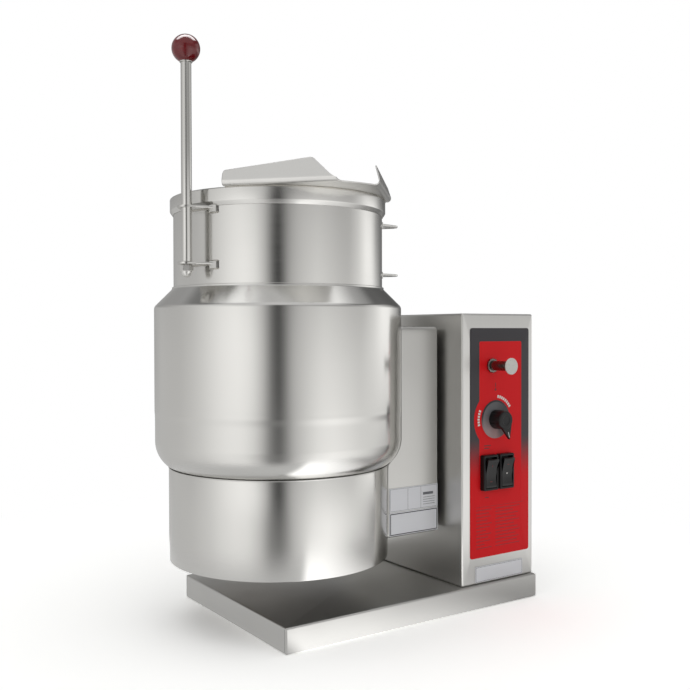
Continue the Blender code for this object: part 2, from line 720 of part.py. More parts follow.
def make_knob(x, back, z):
    """Pointer knob: fluted grip, pointer flange at its front and the spindle behind it."""
    front = KNOB_LENGTH
    profile = [
        (0, front), (0.85 * KNOB_RADIUS, front), (0.93 * KNOB_RADIUS, 0.94 * front),
        (KNOB_RADIUS, 0.07 * front), (0.97 * KNOB_RADIUS, 0),
        (SPINDLE_RADIUS, 0), (SPINDLE_RADIUS, -SPINDLE_LENGTH), (0, -SPINDLE_LENGTH),
    ]
    forward = (math.pi / 2, 0, 0)
    knob = turned(
        "thermostat_knob", profile, BLACK, (x, back, z), forward, MIDDLE_STEPS
    )
    root = 0.85 * KNOB_RADIUS
    touch = math.acos(root / KNOB_POINTER)
    around = [POINTER_ANGLE + touch + (2 * math.pi - 2 * touch) * i / 20 for i in range(21)]
    outline = [(root * math.cos(a), root * math.sin(a)) for a in around]
    outline.append((KNOB_POINTER * math.cos(POINTER_ANGLE), KNOB_POINTER * math.sin(POINTER_ANGLE)))
    pointer = flat_plate(
        "knob_pointer", outline, KNOB_POINTER_SHEET, None,
        (x, back - KNOB_LENGTH + KNOB_POINTER_SHEET, z), forward,
    )
    combine(knob, pointer, "UNION")
    for number in range(6):
        angle = POINTER_ANGLE + math.radians(60 * number + 30)
        flute_r = KNOB_RADIUS + 0.0015
        fx, fz = x + flute_r * math.cos(angle), z + flute_r * math.sin(angle)
        flute = cylinder(
            f"knob_flute_{number}", 0.003, (fx, back - 0.002, fz),
            (fx, back - KNOB_LENGTH + 1.8 * KNOB_POINTER_SHEET, fz), steps=12,
        )
        combine(knob, flute)


def make_switch(name, side, body, overlay):
    """A rocker switch: bezel and body in one, snapped through the panel, and its rocker."""
    x = CONTROL_X + side * (BEZEL_WIDTH + SWITCH_GAP) / 2
    z = CONSOLE_TOP - SWITCH_FROM_TOP
    half_w, half_h = BEZEL_WIDTH / 2, BEZEL_TALL / 2
    neck_w, neck_h = half_w - BEZEL_RIM, half_h - BEZEL_RIM
    face = PANEL_FACE - CLEARANCE
    case = box(
        f"{name}_switch_body", (x - half_w, face - BEZEL_DEPTH, z - half_h),
        (x + half_w, face, z + half_h), BLACK,
    )
    neck = box(
        f"{name}_switch_neck", (x - neck_w, face - BEZEL_DEPTH / 2, z - neck_h),
        (x + neck_w, face + SWITCH_BODY_DEPTH, z + neck_h),
    )
    combine(case, neck, "UNION")
    slot_w, slot_h = neck_w - 0.0005, neck_h - 0.0005
    slot = box(
        f"{name}_rocker_slot", (x - slot_w, face - 2 * BEZEL_DEPTH, z - slot_h),
        (x + slot_w, face + ROCKER_SLOT_DEPTH, z + slot_h),
    )
    combine(case, slot)
    play = CLEARANCE
    opening = box(
        f"{name}_switch_opening",
        (x - neck_w - play, PANEL_FACE - BEZEL_DEPTH, z - neck_h - play),
        (x + neck_w + play, CONSOLE_FRONT + 4 * CONSOLE_SHEET, z + neck_h + play),
    )
    combine(body, opening)
    combine(overlay, opening)
    make_rocker(name, (x, face, z), slot_w - play, slot_h - 3 * play)


def make_rocker(name, pivot, half_width, half_length):
    """A shallow V-faced rocker, its origin on the pivot and its lower end pressed in at rest."""
    rise = ROCKER_FACE + ROCKER_END_RISE
    tip, keel = 0.96 * half_length, 0.55 * half_length
    outline = [
        (-half_length, 0), (-keel, -ROCKER_KEEL), (keel, -ROCKER_KEEL), (half_length, 0),
        (tip, rise), (0, ROCKER_FACE), (-tip, rise),
    ]
    upright = Matrix(((0, 0, 1), (0, -1, 0), (1, 0, 0)))
    turn = Matrix.Rotation(ROCKER_SWING, 3, "X") @ upright
    flat_plate(f"{name}_rocker", outline, 2 * half_width, BLACK, pivot, turn.to_euler())


def make_button(body, overlay):
    """Long push button with its threaded bush, and the switch that it works."""
    x, z = BUTTON_X, CONSOLE_TOP - BUTTON_FROM_TOP
    panel_hole("button_hole", BUSH_BARREL + CLEARANCE, x, z, body, overlay)
    bore = BUTTON_STEM_RADIUS + CLEARANCE
    face = PANEL_FACE - CLEARANCE
    profile = [
        (bore, BUSH_NUT_THICKNESS), (0.85 * BUSH_NUT_RADIUS, BUSH_NUT_THICKNESS),
        (BUSH_NUT_RADIUS, 0.7 * BUSH_NUT_THICKNESS), (BUSH_NUT_RADIUS, 0),
        (BUSH_BARREL, 0), (BUSH_BARREL, -BUSH_TAIL), (bore, -BUSH_TAIL),
    ]
    turned("button_bush", profile, PLATED, (x, face, z), (math.pi / 2, 0, 0), 24)

    stem_back = face + BUSH_TAIL / 2
    disc_back = face - BUTTON_REACH + BUTTON_DISC_THICKNESS
    disc, stem = BUTTON_DISC_RADIUS, BUTTON_STEM_RADIUS
    length = stem_back - disc_back
    button = [
        (0, BUTTON_DISC_THICKNESS), (0.8 * disc, BUTTON_DISC_THICKNESS),
        (disc, 0.6 * BUTTON_DISC_THICKNESS), (disc, 0), (stem, 0), (stem, -length), (0, -length),
    ]
    turned("reset_button", button, WHITE, (x, disc_back, z), (math.pi / 2, 0, 0), 24)
    width, depth, height = RESET_SWITCH_SIZE
    front = face + BUSH_TAIL + CLEARANCE
    box(
        "reset_switch", (x - width / 2, front, z - height / 2),
        (x + width / 2, front + depth, z + height / 2), BLACK,
    )


def make_electrics():
    """Contactor and terminal block on the console's right wall."""
    wall = CONSOLE_RIGHT - CONSOLE_SHEET - CLEARANCE
    front = KETTLE_Y + FRAME_DEPTH / 2 + ELECTRICS_FROM_FRAME
    for name, size, height in (
        ("contactor", CONTACTOR_SIZE, CONTACTOR_HEIGHT),
        ("terminal_block", TERMINALS_SIZE, TERMINALS_HEIGHT),
    ):
        width, depth, tall = size
        bottom = CONSOLE_BOTTOM + height
        box(name, (wall - width, front, bottom), (wall, front + depth, bottom + tall), BLACK)


def make_bearings():
    """A deep U frame bolted to the base, with a bronze bush in each upright."""
    top = TILT_HEIGHT + FRAME_ABOVE_SHAFT
    depth_low, depth_high = KETTLE_Y - FRAME_DEPTH / 2, KETTLE_Y + FRAME_DEPTH / 2
    height = top - FRAME_BOTTOM
    half = FRAME_WIDTH / 2
    inner = half - FRAME_PLATE
    outline = [
        (-half, 0), (half, 0), (half, height), (inner, height),
        (inner, FRAME_PLATE), (-inner, FRAME_PLATE), (-inner, height), (-half, height),
    ]
    frame = flat_plate(
        "bearing_frame", outline, FRAME_DEPTH, PLATED,
        (CONSOLE_MIDDLE, KETTLE_Y, FRAME_BOTTOM), (math.pi / 2, 0, 0),
    )
    bush_outer = SHAFT_RADIUS + RUNNING + BUSH_WALL
    seat = cylinder(
        "bush_seats", bush_outer + CLEARANCE, (FRAME_LEFT - FRAME_PLATE, KETTLE_Y, TILT_HEIGHT),
        (FRAME_RIGHT + FRAME_PLATE, KETTLE_Y, TILT_HEIGHT),
    )
    combine(frame, seat)
    bore = SHAFT_RADIUS + RUNNING
    flange_top = bush_outer + BUSH_FLANGE
    ring = [
        (flange_top, BUSH_FLANGE_THICKNESS), (flange_top, 0), (bush_outer, 0),
        (bush_outer, -FRAME_PLATE - CLEARANCE), (bore, -FRAME_PLATE - CLEARANCE),
        (bore, BUSH_FLANGE_THICKNESS),
    ]
    left = (FRAME_LEFT - CLEARANCE, KETTLE_Y, TILT_HEIGHT)
    right = (FRAME_RIGHT + CLEARANCE, KETTLE_Y, TILT_HEIGHT)
    turned("inner_bearing_bush", ring, BRONZE, left, (0, -math.pi / 2, 0))
    turned("outer_bearing_bush", ring, BRONZE, right, (0, math.pi / 2, 0))
    make_frame_bolts(frame, depth_low, depth_high)
    make_stop_pins(frame)


def make_frame_bolts(frame, depth_low, depth_high):
    """Four bolts clamp the frame and the pan to the backing plate below."""
    seat = FRAME_BOTTOM + FRAME_PLATE + CLEARANCE
    length = seat - (BASE_HEIGHT - BASE_SHEET - CLEARANCE - FRAME_PLATE) + BOLT_TAIL
    targets = [frame, bpy.data.objects["base_pan"], bpy.data.objects["base_backing_plate"]]
    number = 0
    for x in (FRAME_LEFT + BOLT_INSET_X, FRAME_RIGHT - BOLT_INSET_X):
        for y in (depth_low + BOLT_INSET_Y, depth_high - BOLT_INSET_Y):
            number += 1
            hole = cylinder(
                f"bolt_hole_{number}", BOLT_RADIUS + SCREW_PLAY,
                (x, y, seat - length), (x, y, seat + BOLT_HEAD_HEIGHT), steps=SMALL_STEPS,
            )
            for target in targets:
                combine(target, hole)
            bolt = cylinder(
                f"frame_bolt_{number}", BOLT_RADIUS, (x, y, seat - length),
                (x, y, seat + BOLT_HEAD_HEIGHT / 2), PLATED, SMALL_STEPS,
            )
            head = cylinder(
                f"bolt_head_{number}", BOLT_HEAD_RADIUS, (x, y, seat),
                (x, y, seat + BOLT_HEAD_HEIGHT), steps=6,
            )
            combine(bolt, head, "UNION")


def make_stop_pins(frame):
    """Two pins in the outer upright that the shaft's lug meets at each end of the tilt."""
    reach = SHAFT_RADIUS + STOP_COLLAR_WALL
    radius = (reach + STOP_LUG_REACH) / 2
    spread = math.asin((STOP_LUG_WIDTH / 2 + STOP_PIN_RADIUS + 2 * CLEARANCE) / radius)
    lug_at = math.pi / 4
    inner = FRAME_RIGHT - FRAME_PLATE
    spots = (
        ("rest_stop_pin", lug_at - spread),
        ("full_tilt_stop_pin", lug_at + TILT_RANGE + spread),
    )
    for name, angle in spots:
        y = KETTLE_Y + radius * math.cos(angle)
        z = TILT_HEIGHT + radius * math.sin(angle)
        start = (inner - STOP_COLLAR_WIDTH, y, z)
        end = (FRAME_RIGHT - CLEARANCE, y, z)
        cylinder(name, STOP_PIN_RADIUS, start, end, PLATED, SMALL_STEPS)
        hole = cylinder(
            name + "_hole", STOP_PIN_RADIUS + CLEARANCE, (inner - FRAME_PLATE / 2, y, z),
            (FRAME_RIGHT + FRAME_PLATE, y, z), steps=SMALL_STEPS,
        )
        combine(frame, hole)


def make_bowl():
    """Bowl: straight drum above a round bottom, open at the rim."""
    centre = (0, BOWL_CENTRE_Z)
    profile = [(DRUM_RADIUS, RIM_TOP)] + arc(centre, DRUM_RADIUS, 0, -90, 9)
    profile += arc(centre, BOWL_RADIUS, -90, 0, 9) + [(BOWL_RADIUS, RIM_TOP)]
    snapped = [(r if r > 1e-6 else 0, z) for r, z in profile]
    turned("kettle_liner", snapped, STEEL, (KETTLE_X, KETTLE_Y, 0))


def make_jacket():
    """Outer shell: collar, cone, straight side, round corner, dished bottom, flanged neck."""
    profile = [(COLLAR_RADIUS, COLLAR_TOP), (COLLAR_RADIUS, CONE_TOP)]
    tangent = math.tan(math.radians(22.5)) * SHOULDER_BEND
    centre = (JACKET_RADIUS - SHOULDER_BEND, SHOULDER_TOP - tangent)
    profile += arc(centre, SHOULDER_BEND, 45, 0, 3)
    low = -math.degrees(CORNER_ANGLE)
    profile += arc((CORNER_CENTRE_R, CORNER_TOP), JACKET_CORNER, 0, low, 5)
    neck_angle = math.degrees(math.acos(NECK_RADIUS / DISH_RADIUS))
    profile += arc((0, DISH_CENTRE_Z), DISH_RADIUS, low, -neck_angle, 4)[1:]
    profile += [(NECK_RADIUS, NECK_BOTTOM), (NECK_RADIUS + NECK_FLANGE, NECK_BOTTOM)]
    made = turned("steam_jacket", profile, STEEL, (KETTLE_X, KETTLE_Y, 0), closed=False)
    thicken(made, JACKET_WALL)
    return made


def make_rim_band():
    inner = DRUM_RADIUS + CLEARANCE
    bottom = RIM_TOP - BAND_HEIGHT
    bend = arc((BAND_RADIUS - BAND_BEND, RIM_TOP - BAND_BEND), BAND_BEND, 90, 0, 2)
    profile = bend + [(BAND_RADIUS, bottom + BAND_TAPER)]
    profile += [(inner + BAND_THICKNESS / 5, bottom), (inner, bottom), (inner, RIM_TOP)]
    turned("rim_band", profile, STEEL, (KETTLE_X, KETTLE_Y, 0))


def make_skirt():
    """Lower skirt with a hole for the wires, and its recessed bottom cover."""
    inside = SKIRT_RADIUS - SKIRT_WALL
    top = CORNER_TOP - math.sqrt(JACKET_CORNER**2 - (inside - CORNER_CENTRE_R) ** 2)
    top -= 2 * CLEARANCE
    profile = [
        (SKIRT_RADIUS, top), (SKIRT_RADIUS, SKIRT_BOTTOM), (inside, SKIRT_BOTTOM), (inside, top),
    ]
    skirt = turned("lower_skirt", profile, STEEL, (KETTLE_X, KETTLE_Y, 0))
    wire_z = (HOUSING_BOTTOM + SKIRT_JOIN) / 2
    hole = cylinder(
        "wire_hole", WIRE_HOLE_RADIUS, (KETTLE_X + inside / 2, KETTLE_Y, wire_z),
        (KETTLE_X + JACKET_RADIUS, KETTLE_Y, wire_z), steps=SMALL_STEPS,
    )
    combine(skirt, hole)

    rim = inside - CLEARANCE
    low = SKIRT_BOTTOM + COVER_RECESS
    sheet = COVER_SHEET
    cover = [
        (rim, low + COVER_RIM), (rim, low), (0, low), (0, low + sheet),
        (rim - sheet, low + sheet), (rim - sheet, low + COVER_RIM),
    ]
    turned("skirt_bottom_cover", cover, STEEL, (KETTLE_X, KETTLE_Y, 0))


def make_lip():
    """Butterfly pouring lip: two leaning wings folded up from one floor that sits on the rim.

    The right half is one section swept along the wing's bend line, trimmed to the wing's
    outline, the spout's front edge and the bowl's opening, and then mirrored."""
    floor_z = RIM_TOP + CLEARANCE
    lean = math.degrees(LIP_LEAN)
    bend = arc((LIP_CHORD - LIP_BEND, LIP_BEND), LIP_BEND, -90, lean, 5)
    rise = 2 * WING_PEAK_HEIGHT
    top = (bend[-1][0] - rise * math.sin(LIP_LEAN), bend[-1][1] + rise * math.cos(LIP_LEAN))
    section = [(-LIP_BEND, 0), *bend, top]
    back, front = WING_BACK - WING_CORNER, LIP_CHORD + WING_FRONT
    bm = bmesh.new()
    rows = [[bm.verts.new((out, -along, z)) for out, z in section] for along in (back, front)]
    for i in range(len(section) - 1):
        bm.faces.new((rows[0][i], rows[0][i + 1], rows[1][i + 1], rows[1][i]))
    bmesh.ops.rotate(bm, matrix=Matrix.Rotation(LIP_TURN - math.pi / 2, 3, "Z"), verts=bm.verts)
    mesh = bpy.data.meshes.new("pour_lip")
    bm.to_mesh(mesh)
    bm.free()
    lip = smooth(place("pour_lip", mesh, STEEL, (KETTLE_X, KETTLE_Y, floor_z)))
    thicken(lip, LIP_SHEET)
    trim_lip(lip, floor_z, back, front)
    mirror = lip.modifiers.new("other wing", "MIRROR")
    mirror.use_axis = (True, False, False)
    mirror.use_bisect_axis = (True, False, False)
    mirror.merge_threshold = 0.00005


def trim_lip(lip, floor_z, back, front):
    """Cut the wing's top edge, the front edge of the spout and the bowl's opening."""
    above = 3 * WING_PEAK_HEIGHT
    floor, beyond = LIP_SHEET + CLEARANCE, front + LIP_BEND
    outline = [
        (WING_BACK, -above), (WING_BACK, WING_BACK_HEIGHT), (WING_PEAK, WING_PEAK_HEIGHT),
        (WING_FRONT, floor), (beyond, floor), (beyond, above), (2 * back, above),
        (2 * back, -above),
    ]
    radii = [0, WING_CORNER, WING_CORNER, 4 * WING_CORNER, 0, 0, 0, 0]
    outwards = Vector((math.sin(LIP_TURN), -math.cos(LIP_TURN), 0))
    forwards = Vector((-math.cos(LIP_TURN), -math.sin(LIP_TURN), 0))
    turn = Matrix((forwards, (0, 0, 1), -outwards)).transposed()
    axis = Vector((KETTLE_X, KETTLE_Y, floor_z))
    wing_cut = flat_plate(
        "wing_outline", filleted(outline, radii), 4 * WING_PEAK_HEIGHT, None,
        axis + outwards * LIP_CHORD, turn.to_euler(),
    )
    combine(lip, wing_cut)
    wide, tall = 2 * LIP_CHORD, 2 * LIP_CHORD
    front_cut = box(
        "spout_front",
        (KETTLE_X - wide, KETTLE_Y - LIP_REACH - wide, floor_z - tall),
        (KETTLE_X + wide, KETTLE_Y - LIP_REACH, floor_z + tall),
    )
    combine(lip, front_cut)
    mouth = cylinder(
        "bowl_mouth", BOWL_RADIUS, (KETTLE_X, KETTLE_Y, floor_z - tall),
        (KETTLE_X, KETTLE_Y, floor_z + tall), steps=LARGE_STEPS,
    )
    combine(lip, mouth)


def make_handle():
    """Tilting lever: a rod through the upper bracket that stands on the lower one by its
    shoulder, with a ball on top and a domed nut on its turned-down end."""
    x, y = KETTLE_X - ROD_OUT, KETTLE_Y - ROD_FORWARD
    socket_top = BALL_CENTRE - BALL_RADIUS + BALL_SOCKET
    top, shoulder = socket_top - CLEARANCE, RIM_TOP - LOWER_BRACKET_DROP + CLEARANCE
    profile = [
        (0, top), (ROD_RADIUS, top), (ROD_RADIUS, shoulder), (ROD_END_RADIUS, shoulder),
        (ROD_END_RADIUS, ROD_BOTTOM), (0, ROD_BOTTOM),
    ]
    turned("handle_rod", profile, STEEL, (x, y, 0), steps=24)
    socket = ROD_RADIUS + CLEARANCE
    foot = socket + 2 * CLEARANCE
    foot_angle = -math.degrees(math.acos(foot / BALL_RADIUS))
    profile = arc((0, 0), BALL_RADIUS, 90, foot_angle, 12)
    profile[0] = (0, BALL_RADIUS)
    profile += [(socket, profile[-1][1]), (socket, BALL_SOCKET - BALL_RADIUS)]
    profile += [(0, BALL_SOCKET - BALL_RADIUS)]
    turned("ball_knob", profile, MAROON, (x, y, BALL_CENTRE), steps=24)
    for side, name, lower in ((-1, "left", 0), (1, "right", SPARE_BRACKET_DROP)):
        for level, drop, hole in (
            ("upper", UPPER_BRACKET_DROP, ROD_RADIUS), ("lower", LOWER_BRACKET_DROP, ROD_END_RADIUS),
        ):
            make_bracket(f"{name}_{level}_bracket", side, RIM_TOP - drop - lower, hole)
    make_cap_nut(x, y)


def make_bracket(name, side, height, hole):
    """A gusset that holds the rod, with an upright tab welded to the drum."""
    rod = Vector((ROD_OUT, ROD_FORWARD))
    inner = DRUM_RADIUS - BRACKET_SHEET
    ends = []
    for angle, turn in ((BRACKET_BACK_ANGLE, 1), (BRACKET_TAB_ANGLE, -1)):
        root = inner * Vector((math.cos(angle), math.sin(angle)))
        away = root - rod
        tangent = math.acos(BRACKET_EYE / away.length)
        ends.append((root, math.atan2(away.y, away.x) + turn * tangent))
    (back, start), (front, end) = ends
    end -= 2 * math.pi * round((end - start) / (2 * math.pi))
    if end < start:
        end += 2 * math.pi
    outline = [tuple(back)]
    outline += arc(rod, BRACKET_EYE, math.degrees(start), math.degrees(end), 10)
    outline += [tuple(front)]
    mirrored = [(side * u, -v) for u, v in outline]
    middle = (KETTLE_X, KETTLE_Y, height - BRACKET_SHEET / 2)
    plate = flat_plate(name, mirrored, BRACKET_SHEET, STEEL, middle)
    half_tab = math.degrees(BRACKET_TAB_HEIGHT / 2 / DRUM_RADIUS)
    tab_at = math.degrees(BRACKET_TAB_ANGLE) - half_tab
    tab = arc((0, 0), BRACKET_SEAT + BRACKET_SHEET, tab_at - half_tab, tab_at + half_tab, 2)
    tab += arc((0, 0), inner, tab_at + half_tab, tab_at - half_tab, 2)
    tab = [(side * u, -v) for u, v in tab]
    lower = (KETTLE_X, KETTLE_Y, height - BRACKET_SHEET / 2 - BRACKET_TAB_DROP)
    combine(plate, flat_plate(name + "_tab", tab, BRACKET_TAB_HEIGHT, None, lower), "UNION")
    drum = cylinder(
        name + "_drum", BRACKET_SEAT, (KETTLE_X, KETTLE_Y, height - DRUM_RADIUS),
        (KETTLE_X, KETTLE_Y, height + DRUM_RADIUS), steps=LARGE_STEPS,
    )
    combine(plate, drum)
    x, y = KETTLE_X + side * ROD_OUT, KETTLE_Y - ROD_FORWARD
    eye = cylinder(
        name + "_eye", hole + CLEARANCE, (x, y, height - ROD_OUT), (x, y, height + ROD_OUT),
        steps=24,
    )
    combine(plate, eye)


def make_cap_nut(x, y):
    top = RIM_TOP - LOWER_BRACKET_DROP - BRACKET_SHEET - CLEARANCE
    dome_at = top - NUT_HEX_HEIGHT
    nut = cylinder("handle_cap_nut", NUT_RADIUS, (x, y, dome_at), (x, y, top), STEEL, 6)
    round_r = NUT_RADIUS * math.cos(math.pi / 6) - CLEARANCE
    squash = NUT_DOME_HEIGHT / round_r
    profile = [(0, NUT_DOME_HEIGHT / 4), (round_r, NUT_DOME_HEIGHT / 4)]
    profile += [(r, z * squash) for r, z in arc((0, 0), round_r, 0, -90, 5)[:-1]]
    profile += [(0, -NUT_DOME_HEIGHT)]
    dome = turned("nut_dome", profile, None, (x, y, dome_at), steps=24)
    combine(nut, dome, "UNION")
    thread = cylinder(
        "nut_thread", ROD_END_RADIUS + CLEARANCE, (x, y, ROD_BOTTOM - CLEARANCE),
        (x, y, top + NUT_HEX_HEIGHT), steps=24,
    )
    combine(nut, thread)


def make_trunnion():
    """Hub on the jacket, hollow shaft through the bushes, and the stop collar on the shaft."""
    seat = KETTLE_X + JACKET_RADIUS
    inner_end = seat + HUB_WALL
    hub_end = seat + HUB_LENGTH
    axis_y, axis_z = KETTLE_Y, TILT_HEIGHT
    hub = cylinder(
        "trunnion_hub", HUB_RADIUS, (seat - HUB_LENGTH, axis_y, axis_z), (hub_end, axis_y, axis_z),
        STEEL,
    )
    combine(hub, kettle_envelope("hub_saddle", CLEARANCE))
    bore = cylinder(
        "hub_bore", SHAFT_RADIUS + CLEARANCE, (inner_end, axis_y, axis_z),
        (hub_end + HUB_LENGTH, axis_y, axis_z), steps=LARGE_STEPS,
    )
    combine(hub, bore)
    start = inner_end + CLEARANCE
    end = FRAME_RIGHT + CLEARANCE + BUSH_FLANGE_THICKNESS + SHAFT_TAIL
    length = end - start
    sideways = (0, math.pi / 2, 0)
    wall = [(SHAFT_RADIUS, length), (SHAFT_RADIUS, 0), (SHAFT_BORE, 0), (SHAFT_BORE, length)]
    turned("trunnion_shaft", wall, PLATED, (start, axis_y, axis_z), sideways)

    collar_face = FRAME_RIGHT - FRAME_PLATE - 2 * CLEARANCE
    outer = SHAFT_RADIUS + STOP_COLLAR_WALL
    inner = SHAFT_RADIUS + CLEARANCE
    width = STOP_COLLAR_WIDTH - 2 * CLEARANCE
    ring = [(outer, width), (outer, 0), (inner, 0), (inner, width)]
    place_at = (collar_face - width, axis_y, axis_z)
    collar = turned("stop_collar", ring, PLATED, place_at, sideways)
    lug = box(
        "stop_lug",
        (collar_face - width, KETTLE_Y - STOP_LUG_WIDTH / 2, TILT_HEIGHT + inner + CLEARANCE),
        (collar_face, KETTLE_Y + STOP_LUG_WIDTH / 2, TILT_HEIGHT + STOP_LUG_REACH),
    )
    turn_about_shaft(lug, math.pi / 4)
    combine(collar, lug, "UNION")


def turn_about_shaft(made, angle):
    """Swing a piece about the trunnion's axis, from straight up towards the front."""
    axis = Vector((0, KETTLE_Y, TILT_HEIGHT))
    offset = made.location - axis
    spin = Matrix.Rotation(-angle, 3, "X")
    made.location = axis + spin @ offset
    made.rotation_euler = (-angle, 0, 0)


def make_housing():
    """Wiring housing that rides with the kettle, its open side cut to the jacket's curve."""
    low = (KETTLE_X + SKIRT_RADIUS * 0.6, HOUSING_FRONT, HOUSING_BOTTOM)
    high = (HOUSING_RIGHT, KETTLE_Y + HOUSING_HALF_DEPTH, HOUSING_TOP)
    housing = sheet_box(
        "trunnion_housing", low, high, STEEL, HOUSING_SHEET, HOUSING_BEND, [(-1, 0, 0)], 0
    )
    combine(housing, kettle_envelope("housing_fit", CLEARANCE))
    hole = cylinder(
        "housing_shaft_hole", SHAFT_RADIUS + CLEARANCE,
        (HOUSING_RIGHT - 4 * HOUSING_SHEET, KETTLE_Y, TILT_HEIGHT),
        (HOUSING_RIGHT + 4 * HOUSING_SHEET, KETTLE_Y, TILT_HEIGHT), steps=LARGE_STEPS,
    )
    combine(housing, hole)
    x = LABEL_RIGHT - LABEL_WIDTH / 2
    y = HOUSING_FRONT - CLEARANCE - LABEL_SHEET / 2
    bottom = HOUSING_BOTTOM + HOUSING_BEND / 2
    for name, height in (
        ("lower_label_plate", LOWER_LABEL_HEIGHT), ("upper_label_plate", UPPER_LABEL_HEIGHT),
    ):
        outline = filleted(rectangle(LABEL_WIDTH, height), [PLATE_CORNER] * 4)
        spot = (x, y, bottom + height / 2)
        flat_plate(name, outline, LABEL_SHEET, LABEL, spot, (math.pi / 2, 0, 0))
        bottom += height + LABEL_GAP


def make_fittings(jacket):
    """Safety valve with its lever, and a pressure gauge, on the back of the jacket."""
    z = TILT_HEIGHT + VALVE_ABOVE_AXIS
    inside = JACKET_RADIUS - JACKET_WALL - FITTING_INSERT
    y = KETTLE_Y + JACKET_RADIUS + NIPPLE_REACH
    valve_profile = [
        (0, VALVE_BODY_HEIGHT / 2 + VALVE_CAP_HEIGHT + VALVE_STEM_HEIGHT),
        (VALVE_STEM_RADIUS, VALVE_BODY_HEIGHT / 2 + VALVE_CAP_HEIGHT + VALVE_STEM_HEIGHT),
        (VALVE_STEM_RADIUS, VALVE_BODY_HEIGHT / 2 + VALVE_CAP_HEIGHT),
        (VALVE_CAP_RADIUS, VALVE_BODY_HEIGHT / 2 + VALVE_CAP_HEIGHT),
        (VALVE_CAP_RADIUS, VALVE_BODY_HEIGHT / 2),
        (VALVE_BODY_RADIUS, VALVE_BODY_HEIGHT / 2),
        (VALVE_BODY_RADIUS, -VALVE_BODY_HEIGHT / 4),
        (0.8 * VALVE_BODY_RADIUS, -VALVE_BODY_HEIGHT / 2),
        (0, -VALVE_BODY_HEIGHT / 2),
    ]
    valve = turned("safety_valve", valve_profile, BRASS, (KETTLE_X, y, z), steps=24)
    nipple = cylinder(
        "valve_nipple", NIPPLE_RADIUS, (KETTLE_X, KETTLE_Y + inside, z), (KETTLE_X, y, z), steps=24
    )
    combine(valve, nipple, "UNION")
    port = cylinder(
        "valve_port", NIPPLE_RADIUS + CLEARANCE, (KETTLE_X, KETTLE_Y + inside - NIPPLE_REACH / 4, z),
        (KETTLE_X, y, z), steps=24,
    )
    combine(jacket, port)
    make_lever(valve, y, z + VALVE_BODY_HEIGHT / 2 + VALVE_CAP_HEIGHT)
    make_gauge(jacket, inside, z)


def make_lever(valve, y, cap_top):
    """Test lever over the valve's stem, on a pin that an ear of the cap holds."""
    pin_x = KETTLE_X - VALVE_CAP_RADIUS + LEVER_SHEET
    underside = cap_top + VALVE_STEM_HEIGHT + CLEARANCE
    pin_z = underside + LEVER_SHEET / 2
    knuckle = LEVER_SHEET
    ear_y = y + LEVER_WIDTH / 2 + LEVER_GAP
    ear = box(
        "lever_ear", (pin_x - knuckle, ear_y, cap_top - VALVE_CAP_HEIGHT / 2),
        (pin_x + knuckle, ear_y + LEVER_SHEET, pin_z + knuckle),
    )
    foot = box(
        "lever_ear_foot", (pin_x - knuckle, y, cap_top - VALVE_CAP_HEIGHT / 2),
        (pin_x + knuckle, ear_y + LEVER_SHEET, cap_top - VALVE_CAP_HEIGHT / 4),
    )
    pin = cylinder(
        "lever_pin", LEVER_SHEET / 2, (pin_x, y - LEVER_WIDTH / 2, pin_z),
        (pin_x, ear_y + LEVER_SHEET / 2, pin_z), steps=SMALL_STEPS,
    )
    for piece in (foot, ear, pin):
        combine(valve, piece, "UNION")
    lever = box(
        "safety_valve_lever", (pin_x, y - LEVER_WIDTH / 2, underside),
        (pin_x + LEVER_LENGTH, y + LEVER_WIDTH / 2, underside + LEVER_SHEET), PLATED,
    )
    barrel = cylinder(
        "lever_barrel", knuckle, (pin_x, y - LEVER_WIDTH / 2, pin_z),
        (pin_x, y + LEVER_WIDTH / 2, pin_z), steps=SMALL_STEPS,
    )
    bore = cylinder(
        "lever_bore", LEVER_SHEET / 2 + RUNNING, (pin_x, y - LEVER_WIDTH, pin_z),
        (pin_x, y + LEVER_WIDTH, pin_z), steps=SMALL_STEPS,
    )
    combine(lever, barrel, "UNION")
    combine(lever, bore)
    set_origin(lever, (pin_x, y, pin_z))


def set_origin(made, point):
    """Move an object's origin without moving its mesh."""
    shift = Vector(point) - made.location
    made.data.transform(Matrix.Translation(-shift))
    made.location = point


def make_gauge(jacket, inside, z):
    """Pressure gauge on a short pipe, its dial facing out."""
    away = Vector((math.sin(GAUGE_TURN), math.cos(GAUGE_TURN), 0))
    axis = Vector((KETTLE_X, KETTLE_Y, z))
    back = axis + away * (JACKET_RADIUS + GAUGE_REACH)
    turn = Vector((0, 0, 1)).rotation_difference(away).to_euler()
    rim = GAUGE_RADIUS
    profile = [
        (0, 0.85 * GAUGE_THICKNESS), (0.84 * rim, 0.85 * GAUGE_THICKNESS),
        (0.88 * rim, GAUGE_THICKNESS), (rim, GAUGE_THICKNESS), (rim, 0), (0, 0),
    ]
    gauge = turned("pressure_gauge", profile, PLATED, back, turn, MIDDLE_STEPS)
    pipe = cylinder(
        "gauge_pipe", GAUGE_NIPPLE, axis + away * inside, back + away * GAUGE_THICKNESS / 2, steps=24
    )
    combine(gauge, pipe, "UNION")
    port = cylinder(
        "gauge_port", GAUGE_NIPPLE + CLEARANCE, axis + away * (inside - GAUGE_NIPPLE),
        back, steps=24,
    )
    combine(jacket, port)


